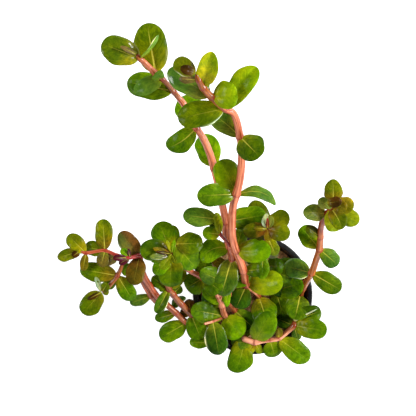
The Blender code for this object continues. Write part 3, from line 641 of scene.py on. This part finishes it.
class Finish:
    """A material, and the nodes that its look is made of."""

    def __init__(self, name, **constants):
        self.material = bpy.data.materials.new(name)
        self.material.use_nodes = True
        self.tree = self.material.node_tree
        self.shader = self.tree.nodes["Principled BSDF"]
        for socket, value in constants.items():
            self.shader.inputs[socket.replace("_", " ")].default_value = value

    def node(self, kind, settings=None, values=None, output=0):
        made = self.tree.nodes.new(kind)
        for name, value in (settings or {}).items():
            setattr(made, name, value)
        for name, value in (values or {}).items():
            self.join(made.inputs[name], value)
        return Socket(self, made.outputs[output])

    def join(self, target, value):
        if isinstance(value, Socket):
            self.tree.links.new(value.socket, target)
        elif isinstance(value, Vector):
            target.default_value = (*value, 1.0) if len(target.default_value) == 4 else value
        else:
            target.default_value = value

    def place(self):
        return self.node("ShaderNodeTexCoord", output=3)

    def attribute(self, name, output=0):
        """What a mesh carries under a name: a colour, or as outputs 1 and 2 a vector and a number."""
        return self.node("ShaderNodeAttribute", {"attribute_name": name}, output=output)

    def blade_place(self):
        """How far along its blade a point is, and how far across."""
        place = self.node("ShaderNodeUVMap", {"uv_map": "blade"})
        return [self.node("ShaderNodeSeparateXYZ", None, {0: place}, output) for output in (0, 1)]

    def stretch(self, vector, scale):
        """A vector or a colour, multiplied number by number."""
        return self.node("ShaderNodeVectorMath", {"operation": "MULTIPLY"}, {0: vector, 1: Vector(scale)})

    def grain(self, vector, scale, detail=2.0, roughness=0.5):
        values = {"Vector": vector, "Scale": scale, "Detail": detail, "Roughness": roughness}
        return self.node("ShaderNodeTexNoise", None, values)

    def blend(self, share, first, second):
        """Two colours mixed by a share."""
        return self.node("ShaderNodeMix", {"data_type": "RGBA"}, {0: share, 6: first, 7: second}, output=2)

    def tinge(self, share, colour, scale):
        """A colour that is multiplied by the scale as far as the share says."""
        return self.blend(share, colour, self.stretch(colour, scale))

    def relief(self, height, distance, strength=1.0):
        values = {"Height": height, "Distance": distance, "Strength": strength}
        self.look(Normal=self.node("ShaderNodeBump", None, values))

    def look(self, **values):
        for name, value in values.items():
            self.join(self.shader.inputs[name.replace("_", " ")], value)


def vein_rise(along, edge):
    """A number that grows by one from each side vein of a blade to the next."""
    return along * VEINS - edge ** VEIN_CURVE * VEIN_SLANT


def blade_finish():
    """A leaf's upper side: waxy, with a pale midrib, arched side veins and a green mottled between them."""
    finish = Finish("leaf_upper_side", IOR=1.4, Specular_IOR_Level=0.02, Coat_Roughness=0.18, Coat_IOR=1.45)
    along, side = finish.blade_place()
    off, ribbing, lot, shine = [finish.attribute(name, 2) for name in BLADE_NUMBERS]
    tint = finish.attribute("tint")
    place = finish.place()
    edge = abs(side * 2 - 1)
    broad = finish.grain(place, 170.0)
    patches = finish.grain(place, 420.0, 4.0, 0.65)
    specks = finish.grain(place, 1900.0)
    rise = vein_rise(along, edge)
    pinnate = finish.node("ShaderNodeCombineXYZ", None, {0: rise, 1: side * 6, 2: lot})
    streaks = finish.grain(pinnate, 1.8, 3.0, 0.65)
    colour = finish.blend(broad.step(0.36, 0.64), finish.stretch(tint, BROAD_SHADE),
                          finish.stretch(tint, BROAD_LIGHT))
    colour = finish.blend(patches.step(0.34, 0.66), finish.stretch(colour, PATCH_SHADE),
                          finish.stretch(colour, PATCH_LIGHT))
    veined = ribbing.step(0.0, 1.2, 0.24, 0.62)
    colour = finish.tinge(streaks.step(0.52, 0.36) * veined, colour, STREAK_SHADE)
    colour = finish.tinge(streaks.step(0.5, 0.68) * veined, colour, STREAK_LIGHT)
    colour = finish.tinge(specks.step(0.54, 0.72) * 0.4, colour, SPECK_LIGHT)
    vein = abs(rise.rest() - 0.5).step(0.1, 0.02) * edge.step(0.9, 0.5) * along.step(0.98, 0.75)
    colour = finish.tinge(vein * 0.3, colour, VEIN_LIGHT)
    half = along.step(0.0, 0.9, 0.19, 0.04) * ribbing
    rib = (off - half).step(0.09, -0.06) * along.step(0.9, 0.3) * ribbing
    colour = finish.blend(rib * 0.5, colour, linear(RIB_COLOUR))
    # Darker towards the edge: partly the margin's own green, partly painted shade along the outline
    colour = finish.tinge(edge.step(0.8, 0.98) * 0.5, colour, EDGE_SHADE)
    finish.look(Base_Color=colour, Roughness=patches.step(0.35, 0.7, 0.5, 0.65), Coat_Weight=shine)
    finish.relief(specks * 0.12 + streaks * 0.4 - vein * 0.3 - rib * 0.4, 0.00025, 0.8)
    return finish.material


def blade_back_finish():
    """A leaf's underside: paler, duller, with a standing rib and a breath of pink."""
    finish = Finish("leaf_underside", IOR=1.4, Specular_IOR_Level=0.3)
    along, side = finish.blade_place()
    cloudy = finish.grain(finish.place(), 300.0, 3.0)
    edge = abs(side * 2 - 1)
    colour = finish.blend(0.35, finish.attribute("tint"), linear(BACK_COLOUR))
    colour = finish.blend(cloudy.step(0.4, 0.75) * 0.4, colour, linear(BACK_PINK))
    vein = abs(vein_rise(along, edge).rest() - 0.5).step(0.12, 0.03) * edge.step(0.9, 0.5)
    rib = finish.attribute("off_rib", 2).step(0.42, 0.2)
    colour = finish.blend(vein * 0.3 + rib * 0.5, colour, linear(BACK_RIB_COLOUR))
    finish.look(Base_Color=colour, Roughness=cloudy.step(0.3, 0.7, 0.5, 0.62))
    finish.relief(vein * 0.5 + cloudy * 0.3, 0.00025, 0.7)
    return finish.material


def skin_finish():
    """A stem's skin: glassy and streaked lengthwise, with dark red rings at its joints."""
    finish = Finish("stem_skin", IOR=1.4, Specular_IOR_Level=0.1, Coat_Roughness=0.16, Coat_IOR=1.5)
    run = finish.attribute("run", 1)
    tint = finish.attribute("tint")
    light = finish.attribute("light_tint")
    streaks = finish.grain(finish.stretch(run, (0.06, 1.5, 1.5)), 1.0, 3.0, 0.6)
    fine = finish.grain(finish.stretch(run, (0.12, 3.6, 3.6)), 1.0)
    blotch = finish.grain(finish.stretch(run, (0.3, 0.3, 0.3)), 1.0, 3.0)
    dashes = finish.grain(finish.stretch(run, (0.9, 2.6, 2.6)), 1.0)
    colour = finish.blend(streaks.step(0.38, 0.62), tint, light)
    # Fine pale streaks, partly the skin's own stripes and partly painted glints
    colour = finish.blend(fine.step(0.55, 0.75) * 0.6, colour, finish.stretch(light, SKIN_STREAK_AND_GLINT))
    colour = finish.blend(blotch.step(0.48, 0.76) * 0.3, colour, finish.stretch(tint, BLOTCH_SHADE))
    colour = finish.blend(dashes.step(0.62, 0.74) * 0.5, colour, linear(RING_COLOUR))
    ring = finish.attribute("ring", 2) * fine.step(0.36, 0.56, 0.35, 1.0)
    colour = finish.blend(ring * JOINT_RING, colour, linear(RING_COLOUR))
    finish.look(Base_Color=colour, Roughness=blotch.step(0.3, 0.7, 0.36, 0.5), Coat_Weight=0.5)
    finish.relief(streaks * 0.4 + fine * 0.3 - ring * 0.3, 0.0002, 0.5)
    return finish.material


def wool_finish():
    """Wet mineral wool: brown, with dark pits."""
    finish = Finish("wet_wool")
    place = finish.place()
    clumps = finish.grain(place, 420.0, 4.0, 0.6)
    pits = finish.grain(place, 1300.0, 3.0, 0.6)
    colour = finish.blend(clumps.step(0.36, 0.68), *map(linear, WOOL_COLOURS))
    colour = finish.blend(pits.step(0.54, 0.7) * 0.7, colour, linear(PIT_COLOUR))
    finish.look(Base_Color=colour, Roughness=pits.step(0.3, 0.7, 0.72, 0.95))
    finish.relief(clumps * 0.6 + pits * 0.4, 0.0008)
    return finish.material


def fibre_finish():
    finish = Finish("wool_fibres")
    colour = finish.blend(finish.attribute("shade", 2), *map(linear, FIBRE_COLOURS))
    finish.look(Base_Color=colour, Roughness=0.8)
    return finish.material


def pot_finish():
    """Black moulded plastic, faintly blue, with a fine matt grain and a few scuffs."""
    finish = Finish("black_pot_plastic", IOR=1.49)
    place = finish.place()
    grain = finish.grain(place, 2600.0)
    scuffs = finish.grain(finish.stretch(place, (1.0, 1.0, 5.0)), 180.0, 4.0, 0.65)
    colour = finish.blend(scuffs.step(0.55, 0.8) * 0.5, *map(linear, PLASTIC_COLOURS))
    finish.look(Base_Color=colour, Roughness=scuffs.step(0.35, 0.75, 0.3, 0.5))
    finish.relief(grain * 0.5 + scuffs * 0.2, 0.00012, 0.5)
    return finish.material


def between(before, start, end, after, share):
    """A smooth curve's point between start and end, which heads from before to after."""
    square = share * share
    cube = square * share
    return 0.5 * (2 * start + (end - before) * share + (2 * before - 5 * start + 4 * end - after) * square
                  + (3 * start - before - 3 * end + after) * cube)


def smooth_route(route):
    """Places, radii and the lengths so far, close together along a stem's route, and each point's length."""
    places = [seen_at(*point[:3]) for point in route]
    last = len(route) - 1
    found = []
    point_lengths = []
    length = 0.0
    for index in range(last):
        before = places[max(index - 1, 0)]
        after = places[min(index + 2, last)]
        start, end = places[index], places[index + 1]
        steps = max(2, round((end - start).length / SAMPLE_STEP))
        for step in range(steps):
            share = step / steps
            eased = share * share * (3 - 2 * share)
            radius = (route[index][3] * (1 - eased) + route[index + 1][3] * eased) / 2
            place = between(before, start, end, after, share)
            if found:
                length += (place - found[-1][0]).length
            if step == 0:
                point_lengths.append(length)
            found.append((place, radius, length))
    length += (places[last] - found[-1][0]).length
    point_lengths.append(length)
    found.append((places[last], route[last][3] / 2, length))
    return found, point_lengths


def headings(places):
    """At each place, the direction onward and a side direction that turns as little as it can."""
    found = []
    side = None
    for index, place in enumerate(places):
        onward = (places[min(index + 1, len(places) - 1)] - places[max(index - 1, 0)]).normalized()
        if side is None:
            side = onward.cross(UP).normalized()
        side = (side - onward * side.dot(onward)).normalized()
        found.append((onward, side))
    return found


def skin_colours(skin):
    return [linear(colour) for colour in SKINS[skin]]


def skin_mesh(name, stem, joints):
    """A sheet wound round a stem's route, ridged lengthwise, swollen at its joints and round at its ends."""
    bm = bmesh.new()
    layers = bm.verts.layers
    for kind, label in (("float_color", "tint"), ("float_color", "light_tint"), ("float_vector", "run"),
                        ("float", "ring")):
        getattr(layers, kind).new(label)
    tint, light = layers.float_color["tint"], layers.float_color["light_tint"]
    run, ring = layers.float_vector["run"], layers.float["ring"]
    samples, point_lengths = smooth_route(stem.route)
    whole = samples[-1][2]
    marks = [point_lengths[point] for point in joints]
    ways = headings([place for place, _, _ in samples])
    foot, tip = skin_colours(stem.foot_skin), skin_colours(stem.tip_skin)
    spots = [(point_lengths[point], skin_colours(skin)) for point, skin in stem.spots.items()]
    shift = name_number(name) % LOTS * LOT_LENGTH
    sheet = bmesh.ops.create_grid(bm, x_segments=len(samples) - 1, y_segments=STEM_SIDES, size=1.0)["verts"]
    for vert in sheet:
        index = round((vert.co.x + 1) / 2 * (len(samples) - 1))
        angle = (vert.co.y + 1) * math.pi
        place, radius, length = samples[index]
        onward, side = ways[index]
        swelling = max(bell(length - mark, JOINT_REACH) for mark in marks)
        end = min(length, whole - length) / radius
        rounding = math.sqrt(max(0.0, 1 - max(0.0, 1 - end) ** 2))
        ridge = 1 + RIDGE_DEPTH * math.cos(RIDGES * angle + RIDGE_TWIST * length)
        out = side * math.cos(angle) + onward.cross(side) * math.sin(angle)
        vert.co = place + out * radius * ridge * rounding * (1 + JOINT_SWELLING * swelling)
        colours = [low.lerp(high, length / whole) for low, high in zip(foot, tip)]
        for mark, skin in spots:
            spot = bell(length - mark, SPOT_REACH)
            colours = [colour.lerp(other, spot) for colour, other in zip(colours, skin)]
        # Painted shade: the skin darkens as it faces away from up, on the stem's sides and underside
        under = clamped((UNDERSIDE_FROM - out.z) / UNDERSIDE_FROM)
        shade = Vector((1, 1, 1)).lerp(PAINTED_UNDERSIDE_SHADE, under)
        vert[tint], vert[light] = [(*(colour * shade), 1.0) for colour in colours]
        vert[run] = Vector((length + shift, math.cos(angle) * radius, math.sin(angle) * radius))
        vert[ring] = max(bell(length - mark, RING_WIDTH) for mark in marks)
    return bm


def half_width(leaf, share):
    """Half a blade's width at a share of its length: two half ellipses, the one at the stalk more pointed."""
    if share < leaf.widest:
        away = 1 - share / leaf.widest
        form = math.sqrt(max(0.0, 1 - away * away)) ** STALK_END_POINTEDNESS
        return max(leaf.width / 2 * form, STALK_WIDTH / 2)
    away = (share - leaf.widest) / (1 - leaf.widest)
    return leaf.width / 2 * math.sqrt(max(0.0, 1 - away ** leaf.full))


def blade_frame(leaf, start, end):
    """The turn from a blade's own directions (along it, to its left, up) to the plant's."""
    along = (end - start).normalized()
    level = UP.cross(along).normalized()
    turn = Matrix((along, level, along.cross(level))).transposed()
    return Matrix.Rotation(math.radians(leaf.roll), 3, along) @ turn


def add_blade(bm, leaf, start, end, seed):
    """A leaf: two sheets, upper and lower, that meet at the edge, with a sunken midrib."""
    layers = bm.verts.layers
    tint = layers.float_color["tint"]
    numbers = [layers.float[name] for name in BLADE_NUMBERS]
    uv = bm.loops.layers.uv["blade"]
    length = (end - start).length
    turn = blade_frame(leaf, start, end)
    rise = math.tan(math.radians(leaf.fold))
    draw = random.Random(seed)
    phase = draw.uniform(0, ABOUT_A_TURN)
    waves = draw.uniform(*RUFFLES)
    ruffle = draw.uniform(*RUFFLE_HEIGHT)
    bright = draw.uniform(*BRIGHTNESS)
    shaded, lit = (linear(colour) for colour in TONES[leaf.tone][:2])
    pale, rim = linear(BASE_COLOUR), linear(EDGE_HIGHLIGHT_COLOUR)
    heart = linear(HEART_COLOUR if leaf.heart > 0 else GOLD_COLOUR)
    for upper in (True, False):
        sheet = bmesh.ops.create_grid(bm, x_segments=BLADE_ROWS, y_segments=BLADE_COLUMNS, size=1.0)["verts"]
        faces = {face for vert in sheet for face in vert.link_faces}
        for face in faces:
            face.material_index = 0 if upper else 1
            for loop in face.loops:
                loop[uv].uv = ((loop.vert.co.x + 1) / 2, (loop.vert.co.y + 1) / 2)
        if not upper:
            bmesh.ops.reverse_faces(bm, faces=list(faces))
        for vert in sheet:
            share = 0.5 - 0.5 * math.cos(math.pi * (vert.co.x + 1) / 2)
            side = math.sin(vert.co.y * math.pi / 2)
            outline = (OUTLINE_WAVES + math.copysign(OUTLINE_OFFSET, side)) * share
            half = half_width(leaf, share) * (1 + OUTLINE_WAVE * math.sin(phase + outline))
            across = side * half
            hump = 4 * share * (1 - share)
            calm = min(1.0, half / CALM_BELOW)
            thinning = min(1.0, TIP_THINNING * (1 - share))
            body = BLADE_THICKNESS / 2 * math.sqrt(max(0.0, 1 - side ** 2)) * thinning
            near_rib = bell(across, RIB_GROOVE_WIDTH) * (1 - share ** 2)
            up = leaf.arch * length * hump + abs(across) * rise
            up -= half * (CUP * side * side + EDGE_CURL * side ** 8)
            up += ruffle * side * side * math.sin(phase + waves * share * ABOUT_A_TURN) * calm
            up += WAVE_HEIGHT * noise.noise(Vector((share * length, across, seed)) / WAVE_SIZE) * calm
            if upper:
                up += body - RIB_GROOVE * near_rib * min(1.0, half / 2)
            else:
                up -= body + RIB_BELOW * near_rib * (abs(side) < AT_EDGE)
            vert.co = start + turn @ Vector((share * length, across + leaf.bow * length * hump, up))
            # Across the midrib the tint goes from the shaded tone to the lit one: painted light and shade of
            # the fold, partly the leaf's own two tones.
            level = 0.5 + 0.5 * leaf.light * math.tanh(HALVES_SHARPNESS * side)
            level += bright - TIP_SHADE * (share - 0.5)
            colour = shaded.lerp(lit, clamped(level))
            colour *= Vector((RED_AT_STALK - RED_FALL * share, 1, 1))
            near = max(0.0, 1 - 2 * share)
            colour = colour.lerp(heart, min(1.0, abs(leaf.heart)) * near ** HEART_FALL)
            colour = colour.lerp(pale, PALE_BASE * (1 - share) ** PALE_BASE_FALL * (1 - max(0.0, leaf.heart)))
            # A painted highlight: one edge paled towards near white about a share of the leaf's length
            at_edge = clamped((math.copysign(side, side * leaf.rim) - EDGE_HIGHLIGHT_START) / EDGE_HIGHLIGHT_SOFTNESS)
            painted_highlight = abs(leaf.rim) * at_edge * bell(share - leaf.rim_at, EDGE_HIGHLIGHT_REACH)
            vert[tint] = (*colour.lerp(rim, painted_highlight), 1.0)
            for layer, value in zip(numbers, (abs(across), leaf.rib, seed % BLADE_LOTS, leaf.shine)):
                vert[layer] = value


def blade_mesh():
    """An empty mesh with what the blades' finishes read."""
    bm = bmesh.new()
    bm.verts.layers.float_color.new("tint")
    for name in BLADE_NUMBERS:
        bm.verts.layers.float.new(name)
    bm.loops.layers.uv.new("blade")
    return bm


def leaf_root(stem, leaf, end):
    """Where a blade starts: inside its joint, a little towards the tip."""
    joint = seen_at(*stem.route[leaf.point][:3])
    return joint + (end - joint).normalized() * stem.route[leaf.point][3] * ROOT_DEPTH


def make_stem(name, stem, leaves, skin, sides):
    """A stem's skin, its own leaves one by one, and its other leaves in one piece."""
    joints = sorted({leaf.point for leaf in leaves})
    add_piece("skin_" + name, skin_mesh(name, stem, joints), [skin], ["stem_" + name])
    own_count = 0
    together = blade_mesh()
    for number, leaf in enumerate(leaves):
        end = seen_at(*leaf.tip)
        start = leaf_root(stem, leaf, end)
        seed = name_number(name) * SEEDS_APART + number
        if leaf.own:
            own_count += 1
            bm = blade_mesh()
            add_blade(bm, leaf, start, end, seed)
            label = f"{name}_{own_count}"
            add_piece("blade_" + label, bm, sides, ["leaf_" + label])
        else:
            add_blade(together, leaf, start, end, seed)
    add_piece("blades_" + name, together, sides, ["stem_" + name])


def turned(profile, steps):
    """A profile of (radius, height) turned about the pot's axis, as a bmesh."""
    bm = bmesh.new()
    points = [bm.verts.new((radius, 0, height)) for radius, height in profile]
    edges = [bm.edges.new(pair) for pair in zip(points, points[1:])]
    bmesh.ops.spin(bm, geom=points + edges, cent=(0, 0, 0), axis=(0, 0, 1), angle=TURN, steps=steps,
                   use_merge=True)
    bmesh.ops.remove_doubles(bm, verts=bm.verts, dist=SAME_POINT)
    bmesh.ops.recalc_face_normals(bm, faces=bm.faces)
    return bm


def inner_radius(height):
    """The pot's inner wall at a height."""
    low = BASE_RADIUS - WALL
    return low + (MOUTH_RADIUS - low) * (height - FLOOR) / (POT_HEIGHT - FLOOR)


def rounded(before, corner, after, radius):
    """Points of an arc that rounds a profile's corner."""
    before, corner, after = Vector(before), Vector(corner), Vector(after)
    start = corner + (before - corner).normalized() * radius
    end = corner + (after - corner).normalized() * radius
    shares = [step / ARC_STEPS for step in range(ARC_STEPS + 1)]
    return [tuple(start.lerp(corner, share).lerp(corner.lerp(end, share), share)) for share in shares]


def slot_cutter(size, place, turn):
    """A block with rounded edges, turned about the pot's axis, that cuts one slot."""
    bm = bmesh.new()
    bmesh.ops.create_cube(bm, size=1.0)
    bmesh.ops.scale(bm, vec=Vector(size), verts=bm.verts)
    bmesh.ops.bevel(bm, geom=bm.edges[:], offset=SLOT_ROUND, segments=3, profile=0.5, affect="EDGES",
                    material=-1)
    bmesh.ops.translate(bm, vec=Vector(place), verts=bm.verts)
    bmesh.ops.rotate(bm, cent=(0, 0, 0), matrix=Matrix.Rotation(turn, 3, "Z"), verts=bm.verts)
    to_metres(bm)
    return add_object("slot", as_mesh("slot", bm))


def make_pot(finish):
    under = POT_HEIGHT - RIM_DEPTH
    neck = (inner_radius(under) + WALL, under - RIM_UNDERSIDE_RISE)
    corners = [(0, FLOOR), (inner_radius(FLOOR), FLOOR), (MOUTH_RADIUS, POT_HEIGHT), (RIM_RADIUS, POT_HEIGHT),
               (RIM_RADIUS, under), neck, (BASE_RADIUS, 0), (0, 0)]
    profile = corners[:1]
    for before, corner, after, radius in zip(corners, corners[1:], corners[2:], EDGE_ROUNDS):
        profile += rounded(before, corner, after, radius)
    profile += corners[-1:]
    pot = add_piece("pot", turned(profile, POT_STEPS), [finish], ["growing_pot"])
    wall_size = (WALL_CUT_LENGTH, WALL_SLOT_WIDTH, WALL_SLOT_HIGH - WALL_SLOT_LOW)
    wall_place = (WALL_CUT_MIDDLE, 0, (WALL_SLOT_HIGH + WALL_SLOT_LOW) / 2)
    floor_size = (FLOOR_SLOT_OUTER - FLOOR_SLOT_INNER, FLOOR_SLOT_WIDTH, 4 * FLOOR)
    floor_place = ((FLOOR_SLOT_OUTER + FLOOR_SLOT_INNER) / 2, 0, 0)
    cutters = []
    for count, size, place in ((WALL_SLOTS, wall_size, wall_place), (FLOOR_SLOTS, floor_size, floor_place)):
        turns = [TURN * (number + 0.5) / count for number in range(count)]
        cutters += [slot_cutter(size, place, turn) for turn in turns]
    for cutter in cutters:
        cut = pot.modifiers.new("slot", "BOOLEAN")
        cut.operation = "DIFFERENCE"
        cut.solver = "EXACT"
        cut.object = cutter
    bpy.context.view_layer.update()
    shaped = bpy.data.meshes.new_from_object(pot.evaluated_get(bpy.context.evaluated_depsgraph_get()))
    pot.modifiers.clear()
    pot.data = shaped
    for cutter in cutters:
        bpy.data.objects.remove(cutter, do_unlink=True)
    shaped.set_sharp_from_angle(angle=SHARP_ANGLE)


def plug_radius(height):
    return inner_radius(height) - 2 * GAP


def make_plug(finish):
    """The wool block, lumpy on top."""
    bottom = FLOOR + GAP
    edge = plug_radius(PLUG_TOP)
    profile = [(edge * step / PLUG_RINGS, PLUG_TOP) for step in range(PLUG_RINGS + 1)]
    heights = [PLUG_TOP - PLUG_SHOULDER, *PLUG_ROWS, bottom]
    profile += [(plug_radius(height), height) for height in heights]
    profile.append((0, bottom))
    bm = turned(profile, PLUG_STEPS)
    for vert in bm.verts:
        reach = vert.co.xy.length
        if vert.co.z > PLUG_TOP - NEAR:
            lumps = noise.fractal(vert.co * LUMP_PITCH, 1.0, 2.0, 4)
            drop = max(0.0, (reach - edge + EDGE_DROP_WIDTH) / EDGE_DROP_WIDTH) ** 2
            vert.co.z += LUMP_HEIGHT * lumps - EDGE_DROP * drop - TOP_DROP
        elif vert.co.z > bottom + NEAR:
            out = vert.co.normalized() * SIDE_HEIGHT * noise.noise(vert.co * SIDE_PITCH)
            vert.co += Vector((out.x, out.y, 0))
    add_piece("wool", bm, [finish], ["wool_plug"])


def make_fibres(finish):
    """Loose fibres on the plug, thin at both ends."""
    draw = random.Random(FIBRE_SEED)
    bm = bmesh.new()
    shade = bm.verts.layers.float.new("shade")
    edge = inner_radius(PLUG_TOP) - FIBRE_MARGIN
    for _ in range(FIBRES):
        reach = edge * math.sqrt(draw.random())
        turn = draw.uniform(0, TURN)
        height = PLUG_TOP + draw.uniform(*FIBRE_HEIGHT)
        place = Vector((reach * math.cos(turn), reach * math.sin(turn), height))
        way = draw.uniform(0, TURN)
        length = draw.uniform(*FIBRE_LENGTH)
        bend = draw.uniform(*FIBRE_BEND)
        thick = draw.uniform(*FIBRE_RADIUS)
        tone = draw.uniform(0.0, 1.0) ** FIBRE_DARKNESS
        tilt = draw.uniform(*FIBRE_TILT)
        sheet = bmesh.ops.create_grid(bm, x_segments=5, y_segments=3, size=1.0)["verts"]
        for vert in sheet:
            share = vert.co.x / 2
            angle = (vert.co.y + 1) * math.pi
            run = length * share
            heading = way + bend * share * 2
            spine = place + Vector((run * math.cos(heading), run * math.sin(heading), run * tilt))
            taper = thick * (1 - FIBRE_TAPER * abs(2 * share) ** 3)
            side = Vector((-math.sin(heading), math.cos(heading), 0))
            vert.co = spine + (side * math.cos(angle) + UP * math.sin(angle)) * taper
            if vert.co.xy.length > edge:
                vert.co.xy = vert.co.xy.normalized() * edge
            vert[shade] = tone
    add_piece("wool_fibres", bm, [finish], ["wool_plug"])


def make_stage():
    bm = bmesh.new()
    bmesh.ops.create_grid(bm, x_segments=1, y_segments=1, size=TABLE_REACH)
    table = add_object("table", as_mesh("table", bm))
    finish = Finish("pale_light_table", Roughness=0.9, Specular_IOR_Level=0.1, Emission_Strength=TABLE_GLOW)
    finish.look(Base_Color=Vector((0.9, 0.9, 0.9)), Emission_Color=Vector((1.0, 1.0, 1.0)))
    table.data.materials.append(finish.material)


def make_lamp(name, place, size, power):
    """A soft box that faces the plant."""
    lamp = bpy.data.lights.new(name, "AREA")
    lamp.shape = "RECTANGLE"
    lamp.size, lamp.size_y = size
    lamp.energy = power
    made = add_object(name, lamp)
    made.location = place
    made.rotation_euler = (LAMPS_FACE - Vector(place)).to_track_quat("-Z", "Y").to_euler()


def make_light():
    scene = bpy.context.scene
    world = bpy.data.worlds.new("soft_room")
    world.use_nodes = True
    nodes, links = world.node_tree.nodes, world.node_tree.links
    way = nodes.new("ShaderNodeTexCoord")
    parts = nodes.new("ShaderNodeSeparateXYZ")
    whole = nodes.new("ShaderNodeMath")
    whole.operation = "MULTIPLY"
    links.new(way.outputs["Generated"], parts.inputs["Vector"])
    for number, (axis, limits) in enumerate(GLOW.items()):
        glow = nodes.new("ShaderNodeMapRange")
        glow.interpolation_type = "SMOOTHSTEP"
        for name, value in zip(("From Min", "From Max", "To Min", "To Max"), limits):
            glow.inputs[name].default_value = value
        links.new(parts.outputs[axis], glow.inputs["Value"])
        links.new(glow.outputs["Result"], whole.inputs[number])
    links.new(whole.outputs["Value"], nodes["Background"].inputs["Strength"])
    nodes["Background"].inputs["Color"].default_value = (1.0, 1.0, 1.0, 1.0)
    scene.world = world
    scene.view_settings.view_transform = "Standard"
    for name, (place, size, power) in LAMPS.items():
        make_lamp(name, place, size, power)


def make_camera():
    view = bpy.data.cameras.new("view")
    steps_at_one_mm = STEPS_PER_MM_AT_RIM * (EYE_HEIGHT - POT_HEIGHT)
    view.sensor_width = SENSOR
    view.lens = SENSOR * steps_at_one_mm / PICTURE_SIZE
    view.clip_start = NEAREST_SEEN
    camera = add_object("view", view)
    camera.location = seen_at(PICTURE_MIDDLE, PICTURE_MIDDLE, EYE_HEIGHT) * MM
    bpy.context.scene.camera = camera


def main():
    sides = [blade_finish(), blade_back_finish()]
    skin = skin_finish()
    for name, stem in STEMS.items():
        make_stem(name, stem, LEAVES[name], skin, sides)
    make_pot(pot_finish())
    make_plug(wool_finish())
    make_fibres(fibre_finish())
    make_stage()
    make_light()
    make_camera()


main()
